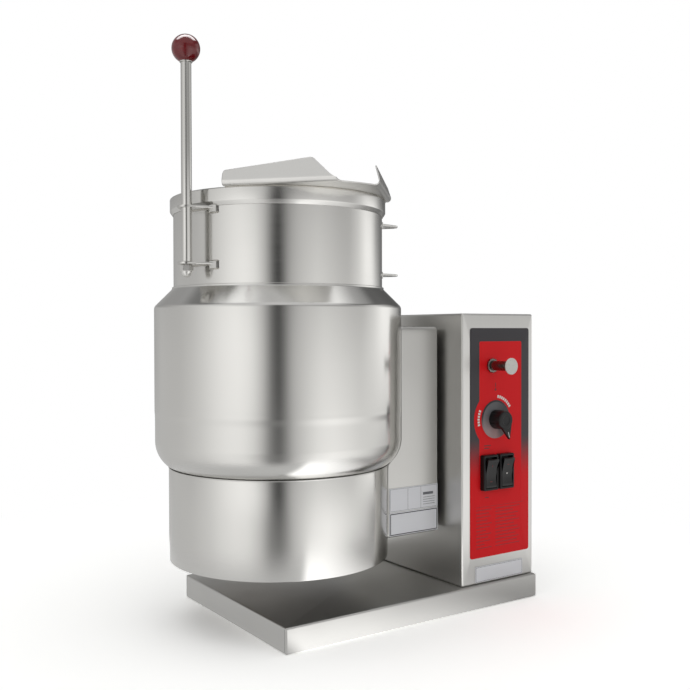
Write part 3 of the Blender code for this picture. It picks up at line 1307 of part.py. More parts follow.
def make_heaters():
    """Element flange under the jacket's neck, with its elements, bulb and water probe."""
    top = NECK_BOTTOM - JACKET_WALL - CLEARANCE
    low = top - ELEMENT_FLANGE_THICKNESS
    radius = NECK_RADIUS + NECK_FLANGE
    profile = [(0, top), (radius, top), (radius, low), (0, low)]
    turned("element_flange", profile, PLATED, (KETTLE_X, KETTLE_Y, 0))
    foot = top + CLEARANCE
    level = BOWL_BOTTOM - 3 * ELEMENT_RADIUS
    for side, name in ((-1, "left"), (1, "right")):
        tube(f"{name}_heating_element", element_path(side, foot, level), ELEMENT_RADIUS, PLATED)
    for side, name, high in ((-1, "low_water_probe", 0.0), (1, "thermostat_bulb", 1.0)):
        y = KETTLE_Y + side * PROBE_OFFSET
        end = level - ELEMENT_RADIUS + high * ELEMENT_RADIUS
        cylinder(name, PROBE_RADIUS, (KETTLE_X, y, foot), (KETTLE_X, y, end), PLATED, SMALL_STEPS)


def element_path(side, foot, level):
    """A hairpin: up from the flange, out over the dish, round and back down."""
    half, bend = ELEMENT_HALF_WIDTH, 2.5 * ELEMENT_RADIUS
    rise = arc((ELEMENT_INNER + bend, level - bend), bend, 180, 90, 4)
    leg = [(ELEMENT_INNER, foot), *rise]
    loop = arc((ELEMENT_REACH - half, 0), half, -90, 90, 8)
    path = [(u, -half, z) for u, z in leg]
    path += [(u, v, level) for u, v in loop]
    path += [(u, half, z) for u, z in reversed(leg)]
    return [(KETTLE_X + side * u, KETTLE_Y + v, z) for u, v, z in path]


def build():
    make_base()
    make_console()
    make_electrics()
    make_bearings()
    make_bowl()
    jacket = make_jacket()
    make_rim_band()
    make_skirt()
    make_lip()
    make_handle()
    make_trunnion()
    make_housing()
    make_fittings(jacket)
    make_heaters()


build()
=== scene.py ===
"""Looks of the steam jacketed kettle: stainless sheet and spinnings, control panel, lever and fittings."""

import json
import math

import bpy
import numpy as np
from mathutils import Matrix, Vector


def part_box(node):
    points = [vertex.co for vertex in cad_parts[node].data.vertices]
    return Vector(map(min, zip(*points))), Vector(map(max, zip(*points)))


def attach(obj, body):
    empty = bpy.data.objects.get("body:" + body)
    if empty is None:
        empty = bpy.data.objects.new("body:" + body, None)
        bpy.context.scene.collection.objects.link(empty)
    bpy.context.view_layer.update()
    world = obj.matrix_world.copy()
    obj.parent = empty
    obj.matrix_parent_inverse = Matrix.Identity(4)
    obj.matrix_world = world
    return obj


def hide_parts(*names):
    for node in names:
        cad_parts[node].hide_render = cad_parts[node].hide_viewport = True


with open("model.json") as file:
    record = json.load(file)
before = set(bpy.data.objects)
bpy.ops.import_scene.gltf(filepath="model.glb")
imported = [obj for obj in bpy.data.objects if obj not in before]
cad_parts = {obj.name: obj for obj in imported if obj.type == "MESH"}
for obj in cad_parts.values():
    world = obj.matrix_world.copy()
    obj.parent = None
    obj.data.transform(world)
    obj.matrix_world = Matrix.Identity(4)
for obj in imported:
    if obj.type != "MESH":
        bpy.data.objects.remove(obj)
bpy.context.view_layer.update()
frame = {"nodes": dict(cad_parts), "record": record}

PI = math.pi
X, Y, Z = np.eye(3)
GAP = 0.0003  # clearance between the solids


def corners(node):
    """Lowest and highest corner of a CAD node, as arrays."""
    low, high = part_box(node)
    return np.array(low), np.array(high)


def middle_of(node):
    """Middle of a CAD node's box."""
    return sum(corners(node)) / 2


BAND_LOW, BAND_HIGH = corners("rim_band")
AXIS = middle_of("rim_band")  # on the kettle's own upright axis
FOOT = AXIS * (1, 1, 0)
RIM = BAND_HIGH[2]
BAND_R = (BAND_HIGH[0] - BAND_LOW[0]) / 2
LINER_LOW, LINER_HIGH = corners("kettle_liner")
DRUM_R = (LINER_HIGH[0] - LINER_LOW[0]) / 2
BOWL_R = DRUM_R - 0.0016
SEAT_R = DRUM_R + GAP  # inside of what sits round the drum
JACKET_LOW, JACKET_HIGH = corners("steam_jacket")
JACKET_R = (JACKET_HIGH[0] - JACKET_LOW[0]) / 2
JACKET_WALL = 0.002
COLLAR_R = SEAT_R + JACKET_WALL
CONE_TOP = JACKET_HIGH[2] - 0.003
SHOULDER_Z = CONE_TOP - (JACKET_R - COLLAR_R)  # foot of the jacket's cone
KNUCKLE_R = 0.045  # where the jacket's side curves in to the skirt
KNUCKLE_Z = SHOULDER_Z - 0.194
SKIRT_LOW, SKIRT_HIGH = corners("lower_skirt")
SKIRT_R = (SKIRT_HIGH[0] - SKIRT_LOW[0]) / 2
CAM_AT = np.array([-0.76117, -1.1546, 0.4225])


# Colour, nodes and materials


def linear(code):
    """An sRGB hex colour as linear RGBA."""
    value = np.array([int(code[i : i + 2], 16) / 255 for i in (0, 2, 4)])
    value = np.where(value <= 0.04045, value / 12.92, ((value + 0.055) / 1.055) ** 2.4)
    return (*value.tolist(), 1.0)


def join(tree, value, taker, key):
    """Give a node's input a value or a link. A node stands for its result, which is the third
    output of a mix of colours and the first of any other node used here."""
    if isinstance(value, bpy.types.Node):
        value = value.outputs[2 if value.bl_idname == "ShaderNodeMix" else 0]
    if isinstance(value, bpy.types.NodeSocket):
        tree.links.new(value, taker.inputs[key])
    else:
        taker.inputs[key].default_value = value


def add(tree, kind, links=None, stops=(), **settings):
    """A shader node with its settings and, on a ramp, its stops; links maps an input to a node, a
    socket or a value."""
    made = tree.nodes.new("ShaderNode" + kind)
    for key, value in settings.items():
        setattr(made, key, value)
    for number, (place, colour) in enumerate(stops):
        held = made.color_ramp.elements
        stop = held[number] if number < 2 else held.new(place)
        stop.position, stop.color = place, colour
    for key, value in (links or {}).items():
        join(tree, value, made, key)
    return made


def level_stops(levels, brightest, tone=(1, 1, 1)):
    """Ramp stops from places and levels, as shares of the brightest level."""
    return [(place, (*(np.array(tone) * level / brightest).tolist(), 1)) for place, level in levels]


def surface(name, colour, roughness, metallic=0.0, grain=300, shade=0.06, streak=0.05, cloud=0.0,
            bump=0.02, along=None, **more):
    """A material whose grain and clouds vary its shade, gloss and relief.

    grain is noise cells per metre, one number or one for each axis, shade how far it darkens and
    lightens the colour, streak and cloud how far grain and 110 mm clouds change the roughness, and
    bump its relief over 0.1 mm. along is how a metal was ground: "round" for rings about its
    upright axis, or a vector, kept a little off the axes so that no face is square to it. It draws
    reflections out across the grain. more sets other sockets, _ standing for a space."""
    made = bpy.data.materials.new(name)
    made.use_nodes = True
    tree = made.node_tree
    shader = tree.nodes["Principled BSDF"]
    for key, value in {"Metallic": metallic, **more}.items():
        join(tree, value, shader, key.replace("_", " "))
    spot = add(tree, "TexCoord").outputs["Object"]
    cells = grain if isinstance(grain, tuple) else (grain,) * 3
    stretched = add(tree, "Mapping", {"Vector": spot, "Scale": cells})
    fine = add(tree, "TexNoise", {"Vector": stretched, "Scale": 1.0, "Detail": 3.0})
    blotch = add(tree, "TexNoise", {"Vector": spot, "Scale": 9.0, "Detail": 2.0})
    dark, pale = ((*(v * (1 + side * shade) for v in linear(colour)[:3]), 1) for side in (-1, 1))
    tint = add(tree, "Mix", {0: fine, 6: dark, 7: pale}, data_type="RGBA")
    join(tree, tint, shader, "Base Color")
    grained = add(tree, "MapRange", {0: fine, 1: 0.3, 2: 0.7, 3: roughness - streak, 4: roughness + streak})
    clouded = add(tree, "MapRange", {0: blotch, 1: 0.3, 2: 0.7, 3: -cloud, 4: cloud})
    join(tree, add(tree, "Math", {0: grained, 1: clouded}, operation="ADD"), shader, "Roughness")
    relief = add(tree, "Bump", {"Height": fine, "Strength": bump, "Distance": 0.0001})
    join(tree, relief, shader, "Normal")
    if along == "round":
        join(tree, 0.25, shader, "Anisotropic Rotation")
        join(tree, add(tree, "Tangent", direction_type="RADIAL", axis="Z"), shader, "Tangent")
    elif along:
        turned = add(tree, "VectorTransform", {0: along},
                     vector_type="VECTOR", convert_from="OBJECT", convert_to="WORLD")
        facing = add(tree, "NewGeometry").outputs["Normal"]
        held = add(tree, "VectorMath", {0: facing, 1: turned}, operation="CROSS_PRODUCT")
        join(tree, held, shader, "Tangent")
    return made


# 304 stainless, spun and ground round its axis: a soft mirror with one dark upright line, drawn out
# up and down. Real grit lines are 0.02 mm apart; these are 0.9 mm, so that they show faintly
SPUN = surface("stainless_304_spun", "D4D3D0", 0.19, 1.0, (6, 6, 1100), 0.012, 0.012, 0.015, 0.03, "round",
               Anisotropic=0.6)
# 316 stainless bowl, polished inside: clearer, with rings round the drum
BOWL_STEEL = surface("stainless_316_polished", "D2D1CE", 0.2, 1.0, (8, 8, 900), 0.015, 0.02, 0.03, 0.04,
                     "round", Anisotropic=0.5)
# 304 sheet, belt-ground upright (number 4 finish): flat grey with faint upright lines, drawn 1 mm apart
WALL = surface("stainless_304_sheet_upright", "D6D5D2", 0.32, 1.0, (1000, 1000, 7), 0.03, 0.03, 0.015, 0.04,
               (0.02, 0.03, 1), Anisotropic=0.5)
# The same sheet on the tilting housing, toned darker as painted shade
SHADED_HOUSING_SHEET = surface("stainless_304_housing_painted_shade", "C0BFBC", 0.33, 1.0, (1000, 1000, 7), 0.03, 0.03, 0.015, 0.04,
                  (0.02, 0.03, 1), Anisotropic=0.5)
# The same sheet on the base, ground from side to side: long lines, darkest where it mirrors the kettle
PAN = surface("stainless_304_base_sheet", "C8C7C4", 0.37, 1.0, (9, 1000, 1000), 0.03, 0.03, 0.04, 0.08,
              (1, 0, 0.35), Anisotropic=0.5)
# The same 304 sheet under the kettle, darkened as painted shade where it sits in shadow: dull, dark and
# cloudy
SHADED_UNDERSIDE = surface("stainless_304_underside_painted_shade", "85817C", 0.5, 1.0, 300, 0.08, 0.05, 0.05, 0.05)
# 304 sheet dressed with an orbital pad after welding: even grey with 2 mm swirls
LIP_STEEL = surface("stainless_304_orbital", "DEDDDA", 0.32, 1.0, 500, 0.04, 0.04, 0.04, 0.10)
# Ground and polished 304 bar: bright upright streaks
ROD_STEEL = surface("stainless_304_bar", "CAC9C6", 0.15, 1.0, (40, 40, 1500), 0.02, 0.02, 0.0, 0.03)
# Weld bead left as it cooled: small bright ripples, faintly straw-coloured, 1.5 mm apart
WELD = surface("stainless_weld_bead", "BDBAB3", 0.34, 1.0, 700, 0.20, 0.10, 0.0, 0.6)
# Zinc-plated pressed steel: dull grey with crystals about 2 mm across
PLATE_STEEL = surface("zinc_plated_steel", "9C9C98", 0.42, 1.0, 480, 0.14, 0.08, 0.03, 0.1)
# Nickel-plated turned steel: mirror-like, very slightly waved
CHROME = surface("nickel_plate", "CFCECB", 0.12, 1.0, 220, 0.02, 0.03, 0.0, 0.05)
# Turned steel push rod and plated bush nut, toned dark brown-grey as a painted reflection of the red panel,
# with turning rings 0.7 mm apart
PAINTED_REFLECTION_STEEL = surface("turned_steel_painted_reflection", "7C7772", 0.26, 1.0, (30, 1400, 30), 0.10, 0.06, 0.0, 0.12)
# Machined free-cutting brass: warm, with turning rings 0.7 mm apart and dull patches
BRASS = surface("machined_brass", "AE9258", 0.34, 1.0, (30, 30, 1400), 0.08, 0.06, 0.05, 0.1)
# Oil-filled sintered bronze: dark pores about 0.5 mm, brown sheen
BRONZE = surface("sintered_bronze", "8A6238", 0.42, 1.0, 1900, 0.22, 0.08, 0.03, 0.3)
# Cast phenolic, buffed: deep red under a clear gloss, faintly clouded at 8 mm
PHENOLIC = surface("cast_phenolic_maroon", "70141A", 0.10, 0.0, 120, 0.22, 0.03, 0.0, 0.0,
                   IOR=1.6, Specular_IOR_Level=0.1, Coat_Weight=0.9, Coat_IOR=1.5, Coat_Roughness=0.03)
# Moulded ABS with a spark-eroded surface, 0.4 mm: soft black that greys towards the light
BLACK_ABS = surface("moulded_black_abs", "121213", 0.36, 0.0, 2500, 0.15, 0.05, 0.03, 0.6,
                    IOR=1.53, Specular_IOR_Level=0.3)
# Polycarbonate from a polished mould: black gloss with flow waves at 6 mm
BLACK_GLOSS = surface("moulded_black_polycarbonate", "0B0B0C", 0.17, 0.0, 160, 0.2, 0.03, 0.0, 0.1,
                      IOR=1.585, Specular_IOR_Level=0.3)
# Moulded nylon 66: matt black, faintly mottled at 1 mm
BLACK_NYLON = surface("moulded_black_nylon", "1A1A1B", 0.5, 0.0, 1000, 0.15, 0.06, 0.03, 0.5, IOR=1.53)
# Moulded ABS in off-white: satin, with faint flow clouds at 5 mm
WHITE_ABS = surface("moulded_white_abs", "D6D5D0", 0.3, 0.0, 200, 0.03, 0.05, 0.0, 0.05, IOR=1.53,
                    Subsurface_Weight=0.05)
# Polyester film screen-printed red on its back: even colour under a velvet skin of 0.5 mm cells
RED_FILM = surface("printed_polyester_red", "E0181F", 0.42, 0.0, 2000, 0.03, 0.05, 0.02, 0.12,
                   IOR=1.6, Specular_IOR_Level=0.12)
# Screen inks on film and foil: matt, with the mesh's 0.5 mm mottle
INK = {
    name: surface(f"screen_ink_{name}", code, 0.5, 0.0, 2000, shade, 0.05, 0.0, 0.1, IOR=1.5)
    for name, code, shade in (("white", "E9E7E2", 0.05), ("dark_red", "701A1E", 0.10),
                              ("red_rule", "A8161C", 0.08),
                              ("black", "26262A", 0.12), ("grey", "6B6D72", 0.08))
}
# Silvered polyester label: pale grey, half metallic, brushed along its length at 0.7 mm
FOIL = surface("silvered_polyester", "E2E3E7", 0.45, 0.2, (14, 1400, 1400), 0.03, 0.05, 0.0, 0.05)
# Enamelled gauge dial: satin white with a faint 0.8 mm orange peel
ENAMEL = surface("white_enamel", "E6E4DE", 0.34, 0.0, 1200, 0.02, 0.05, 0.0, 0.15, IOR=1.52)
# Shadow inside an open seam, with the sheet's rough cut edge
SEAM = surface("open_seam_shadow", "3A3937", 0.6, 0.6, 900, 0.3, 0.1, 0.0, 0.2)


# Shapes


def piece(name, points, faces):
    """A mesh object from an array of points and a list of faces."""
    mesh = bpy.data.meshes.new(name)
    mesh.from_pydata(np.asarray(points).tolist(), [], faces)
    made = bpy.data.objects.new(name, mesh)
    bpy.context.scene.collection.objects.link(made)
    return made


def quads_of(index):
    """Quads between neighbouring rows and columns of a grid of point numbers."""
    return np.stack([index[:-1, :-1], index[:-1, 1:], index[1:, 1:], index[1:, :-1]], -1).reshape(-1, 4)


def skin(name, grid, around=True, loop=False, caps=False):
    """A mesh over rows of points; around joins each row's ends, loop joins the last row to the
    first, and caps, one flag or one for each end, close the end rows with fans. Closed shapes face
    outwards."""
    rows, cols = grid.shape[:2]
    caps = np.broadcast_to(caps, 2)
    index = np.arange(rows * cols).reshape(rows, cols)
    if around:
        index = np.hstack([index, index[:, :1]])
    if loop:
        index = np.vstack([index, index[:1]])
    faces = quads_of(index)
    points = grid.reshape(-1, 3)
    fans = []
    for cap, row, flip in zip(caps, (0, -1), (False, True)):
        if cap:
            edge = index[row]
            pole = np.full(len(edge) - 1, len(points))
            points = np.vstack([points, grid[row].mean(0)])
            fan = np.stack([edge[1:], edge[:-1], pole], -1)
            fans.append(fan[:, ::-1] if flip else fan)
    if loop or all(caps):
        tris = np.vstack([faces[:, :3], faces[:, [0, 2, 3]], *fans])
        if np.linalg.det(points[tris]).sum() < 0:
            faces = faces[:, ::-1]
            fans = [fan[:, ::-1] for fan in fans]
    return piece(name, points, faces.tolist() + [face for fan in fans for face in fan.tolist()])


def dress(made, look, body, stands_for=(), sharp=38):
    """Smooth it up to an angle, give it its finish and let it ride on its body."""
    made.data.shade_smooth()
    made.data.set_sharp_from_angle(angle=math.radians(sharp))
    made.data.materials.append(look)
    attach(made, body)
    if stands_for:
        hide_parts(*stands_for)
    return made


def outward(made, inside):
    """Turn an open surface so that its faces look away from an inside point."""
    mesh = made.data
    total = 0.0
    for face in mesh.polygons:
        total += face.normal.dot(face.center - Vector(inside)) * face.area
    if total < 0:
        mesh.flip_normals()


def thicken(made, sheet):
    """Give a sheet its thickness, away from the side it faces."""
    wall = made.modifiers.new("sheet", "SOLIDIFY")
    wall.thickness, wall.offset = sheet, -1


def fillet(points, radii, steps=5):
    """An open line whose inner corners are arcs: each corner's points are spread on a circle that
    touches both of its sides."""
    line = [np.array(points[0], float)]
    for before, here, after, radius in zip(points, points[1:], points[2:], radii):
        before, here, after = (np.array(p, float) for p in (before, here, after))
        one, two = before - here, after - here
        one, two = one / np.linalg.norm(one), two / np.linalg.norm(two)
        half = math.acos(np.clip(one @ two, -1, 1)) / 2
        if radius <= 0 or half > 1.55:
            line.append(here)
            continue
        middle = (one + two) / np.linalg.norm(one + two)
        centre = here + middle * radius / math.sin(half)
        first, last = here + one * radius / math.tan(half), here + two * radius / math.tan(half)
        blend = first + np.linspace(0, 1, steps)[:, None] * (last - first) - centre
        line.extend(centre + radius * blend / np.linalg.norm(blend, axis=1)[:, None])
    line.append(np.array(points[-1], float))
    return np.array(line)


def arc(centre, radius, start, end, steps):
    """Points on a circle between two angles in degrees."""
    turn = np.radians(np.linspace(start, end, steps))
    return np.array(centre) + radius * np.stack([np.cos(turn), np.sin(turn)], -1)


def basis(axis):
    """Two directions square to an axis, so that the three are right-handed."""
    axis = np.array(axis, float) / np.linalg.norm(axis)
    side = X if abs(axis[0]) < 0.9 else Y
    one = np.cross(side, axis) if abs(axis[2]) < 0.9 else X
    one = one / np.linalg.norm(one)
    return axis, one, np.cross(axis, one)


def revolve(name, profile, origin, axis=Z, steps=160, loop=False, caps=False, swell=None):
    """Profile points (r, h) turned about an axis: p = origin + r (cos t u + sin t v) + h w.
    swell(t, h) multiplies r, for hexagons and flutes."""
    axis, one, two = basis(axis)
    profile = np.array(profile, float)
    turn = np.linspace(0, 2 * PI, steps, endpoint=False)
    r, h = profile[:, :1], profile[:, 1:]
    if swell:
        r = r * swell(turn[None, :], h)
    ring = np.cos(turn)[:, None] * one + np.sin(turn)[:, None] * two
    r = np.broadcast_to(r, (len(profile), steps))
    grid = np.array(origin) + r[..., None] * ring[None] + h[..., None] * axis
    return skin(name, grid, True, loop, caps)


def hexagon(turn):
    """Radius of a hexagon of unit corner radius: cos 30 over the cosine from the nearest flat."""
    away = np.mod(turn + PI / 6, PI / 3) - PI / 6
    return math.cos(PI / 6) / np.cos(away)


def rounded_rectangle(width, height, radius, steps=6):
    """Points round a rectangle with round corners, anticlockwise from the right."""
    radius = max(min(radius, width / 2, height / 2), 1e-5)
    sides = []
    for number, (sx, sy) in enumerate(((1, 1), (-1, 1), (-1, -1), (1, -1))):
        centre = (sx * (width / 2 - radius), sy * (height / 2 - radius))
        sides.append(arc(centre, radius, 90 * number, 90 * number + 90, steps))
    return np.vstack(sides)


def folded(name, width, height, corner, profile, origin, a, b, n, caps=(False, True)):
    """Sheet or moulding on a rounded rectangle: each profile point (inset, level) gives one ring,
    the rectangle shrunk by inset at height level along n."""
    rings = []
    for inset, level in profile:
        ring = rounded_rectangle(width - 2 * inset, height - 2 * inset, corner - inset)
        rings.append(np.array(origin) + ring[:, :1] * a + ring[:, 1:] * b + level * n)
    return skin(name, np.array(rings), True, False, caps)


def block(name, low, high, bend, axis, edge):
    """A closed block between two corners, with bend as corner radius round the axis and edge as
    the radius where the walls meet both ends."""
    low, high = np.array(low, float), np.array(high, float)
    n = np.eye(3)[axis]
    a, b = np.eye(3)[(axis + 1) % 3], np.eye(3)[(axis + 2) % 3]
    size = high - low
    width, height, depth = size[(axis + 1) % 3], size[(axis + 2) % 3], size[axis]
    rise = arc((edge, edge), edge, 270, 180, 5)
    fall = arc((edge, depth - edge), edge, 180, 90, 5)
    middle = (low + high) / 2
    middle[axis] = low[axis]
    profile = np.vstack([rise, fall])
    return folded(name, width, height, bend, profile, middle, a, b, n, True)


def tube(name, path, radius, steps=10):
    """A bead along a path: rings of the given radii, square to the path's own direction, with both
    ends closed."""
    path = np.array(path, float)
    radius = np.broadcast_to(radius, len(path))
    along = np.gradient(path, axis=0)
    along /= np.linalg.norm(along, axis=1)[:, None]
    one = np.cross(along, Z + 0.01 * X)
    one /= np.linalg.norm(one, axis=1)[:, None]
    two = np.cross(along, one)
    turn = np.linspace(0, 2 * PI, steps, endpoint=False)
    ring = np.cos(turn)[None, :, None] * one[:, None] + np.sin(turn)[None, :, None] * two[:, None]
    return skin(name, path[:, None] + radius[:, None, None] * ring, True, False, True)


def weld(name, path, radius, body):
    """Weld bead: its radius swells by a fifth every 1.6 mm, as the puddles freeze."""
    path = np.array(path, float)
    run = np.concatenate([[0], np.cumsum(np.linalg.norm(np.diff(path, axis=0), axis=1))])
    ripple = 1 + 0.22 * np.sin(run / 0.0016 * 2 * PI) + 0.08 * np.sin(run / 0.0043 * 2 * PI)
    return dress(tube(name, path, radius * ripple), WELD, body, sharp=60)


def strokes(name, quads):
    """Flat printed marks: one small quad each, from an array of four corners per mark."""
    quads = np.array(quads, float)
    return piece(name, quads.reshape(-1, 3), np.arange(len(quads) * 4).reshape(-1, 4).tolist())


def front_marks(x0, x1, z0, z1, y):
    """Corners of marks on a plane that faces the front, from arrays of their sides."""
    x0, x1, z0, z1 = np.broadcast_arrays(*(np.atleast_1d(v).astype(float) for v in (x0, x1, z0, z1)))
    rows = [(x0, z0), (x1, z0), (x1, z1), (x0, z1)]
    return np.stack([np.stack([u, np.full_like(u, y), v], -1) for u, v in rows], 1)


# Kettle


def make_bowl():
    """Straight drum above a half-round bottom; the wall is the gap between two such lines."""
    centre = (0, LINER_LOW[2] + DRUM_R)
    outer = arc(centre, DRUM_R, -89, 0, 28)
    inner = arc(centre, BOWL_R, 0, -89, 28)
    edge = fillet([(DRUM_R, RIM - 0.01), (DRUM_R, RIM), (BOWL_R, RIM), (BOWL_R, RIM - 0.01)],
                  (0.0006, 0.0006), 4)
    line = np.vstack([outer, edge, inner])
    made = revolve("bowl", line, FOOT, steps=240, caps=True)
    dress(made, BOWL_STEEL, "kettle", ["kettle_liner"])


def make_jacket():
    """Spun shell: collar, cone, shoulder, side, ground seam, knuckle, dish and neck. The side
    stands in by 0.6 mm below the seam, and the seam itself is a low swell."""
    inset, top = 0.0006, JACKET_HIGH[2]
    low = math.acos((SKIRT_R - JACKET_R + KNUCKLE_R) / KNUCKLE_R)
    upper = fillet([(SEAT_R, top), (COLLAR_R, top), (COLLAR_R, CONE_TOP), (JACKET_R, SHOULDER_Z),
                    (JACKET_R, SHOULDER_Z - 0.08)], (0.0008, 0.002, 0.008), 6)
    side_z = np.linspace(SHOULDER_Z - 0.082, KNUCKLE_Z, 60)
    seam = KNUCKLE_Z + 0.042
    step = 0.5 - 0.5 * np.tanh((side_z - seam) / 0.005)
    swell = 0.00022 * np.exp(-(((side_z - seam) / 0.004) ** 2))
    side = np.stack([JACKET_R - inset * step + swell, side_z], -1)
    bend = arc((JACKET_R - KNUCKLE_R, KNUCKLE_Z), KNUCKLE_R - inset, 0, -math.degrees(low), 18)
    dish_r = SKIRT_R / math.cos(low)
    dish_z = SKIRT_HIGH[2] + 0.0004 + dish_r * math.sin(low)
    dish = arc((0, dish_z), dish_r, -math.degrees(low), -74, 10)[1:]
    neck = [(0.040, JACKET_LOW[2]), (0.060, JACKET_LOW[2])]
    outer = np.vstack([upper, side, bend, dish, neck])
    inner = outer[::-1] - (JACKET_WALL, 0)
    inner = inner[(inner[:, 1] < CONE_TOP) & (inner[:, 0] > 0.036)]
    line = np.vstack([outer, inner, [(SEAT_R, CONE_TOP)]])
    made = revolve("jacket", line, FOOT, steps=256, loop=True)
    dress(made, SPUN, "kettle", ["steam_jacket"], sharp=30)


def make_band():
    """Rolled band round the rim, its lower edge tapered back to the drum."""
    inner, low = SEAT_R, BAND_LOW[2]
    line = fillet(
        [(inner, RIM), (BAND_R, RIM), (BAND_R, low + 0.0055), (inner + 0.0009, low),
         (inner, low), (inner, low + 0.004)],
        (0.002, 0.0016, 0.0005, 0.0), 6,
    )
    made = revolve("rolled_rim", line, FOOT, steps=240, loop=True)
    dress(made, SPUN, "kettle", ["rim_band"])


def make_skirt():
    """Plain cylinder of sheet with a deburred lower edge, and the dressed bead that joins it."""
    wall, low, high = 0.0015, SKIRT_LOW[2], SKIRT_HIGH[2]
    line = fillet(
        [(SKIRT_R - wall, high), (SKIRT_R, high), (SKIRT_R, low), (SKIRT_R - wall, low),
         (SKIRT_R - wall, high - 0.002)],
        (0.0003, 0.0006, 0.0006), 4,
    )
    made = revolve("skirt", line, FOOT, steps=240, loop=True)
    dress(made, SPUN, "kettle", ["lower_skirt"])
    line = arc((SKIRT_R - 0.0003, high + 0.0002), 0.0009, 0, 360, 13)[:-1]
    made = revolve("skirt_join_bead", line, FOOT, steps=240, loop=True)
    dress(made, SPUN, "kettle")


def make_lip():
    """Butterfly lip, one half and its mirror image welded along the middle of the spout. With t the
    wing's turn, d the distance out along its normal and s along its bend line, a point lies at
    sideways d sin t - s cos t and forward d cos t + s sin t. Across, the wing is an arc of 6 mm and
    a plane that leans in by 18 degrees; its height over s is a filleted line: back, peak, spout."""
    turn, chord, bend, lean = math.radians(47.2), BAND_R + 0.0068, 0.006, math.radians(18)
    back, peak, front = -0.163 * chord, 0.568 * chord, 0.773 * chord
    reach = AXIS[1] - corners("pour_lip")[0][1]
    tau = np.linspace(0, 1, 150)[:, None]
    out_f, out_l = math.cos(turn), math.sin(turn)
    along_f, along_l = math.sin(turn), -math.cos(turn)
    edge = fillet([(back, -0.01), (back, 0.0204), (peak, 0.0340), (front, 0.0018), (front + 0.03, 0.0018)],
                  (0.005, 0.010, 0.035), 9)[1:]
    c = np.linspace(0, 1, 34)[None, :] ** 1.4
    arc_top = bend * (1 + math.sin(lean))
    s = back + tau * (front - back) + 0 * c
    for _ in range(6):
        z = c * np.interp(s, edge[:, 0], edge[:, 1])
        angle = np.arccos(np.clip(1 - z / bend, -1, 1))
        straight = chord - bend + bend * math.cos(lean) - (z - arc_top) * math.tan(lean)
        d = np.where(z < arc_top, chord - bend + bend * np.sin(angle), straight)
        s = back + tau * (np.minimum((reach - out_f * d) / along_f, front + 0.004) - back)
    wing = np.stack([out_l * d + along_l * s, out_f * d + along_f * s, z], -1)

    first = np.arccos(np.clip((out_f * chord + along_f * back) / math.hypot(chord, back), -1, 1))
    circle = first * (1 - (tau / 0.80).clip(0, 1))
    inner_l, inner_f = (BOWL_R + 0.0002) * np.sin(circle), (BOWL_R + 0.0002) * np.cos(circle)
    inner_f = inner_f + ((tau - 0.80) / 0.20).clip(0, 1) * (reach - inner_f)
    inner = np.stack([inner_l, inner_f, 0 * inner_l], -1)
    f = np.linspace(0, 1, 12)[None, :-1, None]
    half = np.concatenate([inner * (1 - f) + wing[:, :1] * f, wing], 1)
    faces = quads_of(np.arange(half.shape[0] * half.shape[1]).reshape(half.shape[:2]))
    points = np.vstack([half.reshape(-1, 3), (half * (-1, 1, 1)).reshape(-1, 3)])
    faces = np.vstack([faces, faces[:, ::-1] + len(points) // 2])
    points, place = np.unique(points.round(7), axis=0, return_inverse=True)
    base = corners("pour_lip")[0][2]
    points = np.array([AXIS[0], AXIS[1], base]) + points * (1, -1, 1)
    made = piece("butterfly_lip", points, place.reshape(-1)[faces].tolist())
    outward(made, (AXIS[0], AXIS[1], base + 0.05))
    thicken(made, 0.0015)
    dress(made, LIP_STEEL, "kettle", ["pour_lip"], sharp=50)
    away = np.linspace(-first, first, 400)
    path = np.stack([AXIS[0] + (BAND_R - 0.0004) * np.sin(away), AXIS[1] - (BAND_R - 0.0004) * np.cos(away),
                     np.full_like(away, RIM - 0.0004)], -1)
    weld("lip_weld", path, 0.0009, "kettle")


def make_housing():
    """Folded housing, its open side cut where the jacket is: x = axis + sqrt(R(z)^2 - y^2)."""
    low, high = corners("trunnion_housing")
    bend = 0.005
    _, width, height = high - low
    centre = middle_of("trunnion_housing") * (0, 1, 1)
    spots = rounded_rectangle(width, height, bend, 7)
    ring = centre + spots[:, :1] * Y + spots[:, 1:] * Z
    dense = []
    for start, end in zip(ring, np.roll(ring, -1, 0)):
        pieces = max(1, int(np.linalg.norm(end - start) / 0.006))
        dense.append(start + np.linspace(0, 1, pieces, endpoint=False)[:, None] * (end - start))
    ring = np.vstack(dense)
    z = ring[:, 2]
    drop = np.sqrt(np.clip(KNUCKLE_R**2 - (KNUCKLE_Z - z).clip(0, KNUCKLE_R) ** 2, 0, None))
    radius = np.where(z > KNUCKLE_Z, JACKET_R, JACKET_R - KNUCKLE_R + drop)
    radius = np.maximum(radius, SKIRT_R) + 0.0004
    start_x = AXIS[0] + np.sqrt(radius**2 - (ring[:, 1] - AXIS[1]) ** 2)
    rows = [ring + np.outer(start_x + share * (high[0] - bend - start_x), X)
            for share in np.linspace(0, 1, 40)]
    for t in np.linspace(0, PI / 2, 7)[1:]:
        inset = 2 * bend * (1 - math.cos(t))
        row = centre + (ring - centre) * (1, (width - inset) / width, (height - inset) / height)
        row[:, 0] = high[0] - bend + bend * math.sin(t)
        rows.append(row)
    made = skin("wiring_housing", np.array(rows), True, False, (False, True))
    outward(made, centre + (AXIS[0] + JACKET_R) * X)
    thicken(made, 0.0015)
    # The housing's sheet is toned darker as painted shade.
    dress(made, SHADED_HOUSING_SHEET, "kettle", ["trunnion_housing"])


# Lever


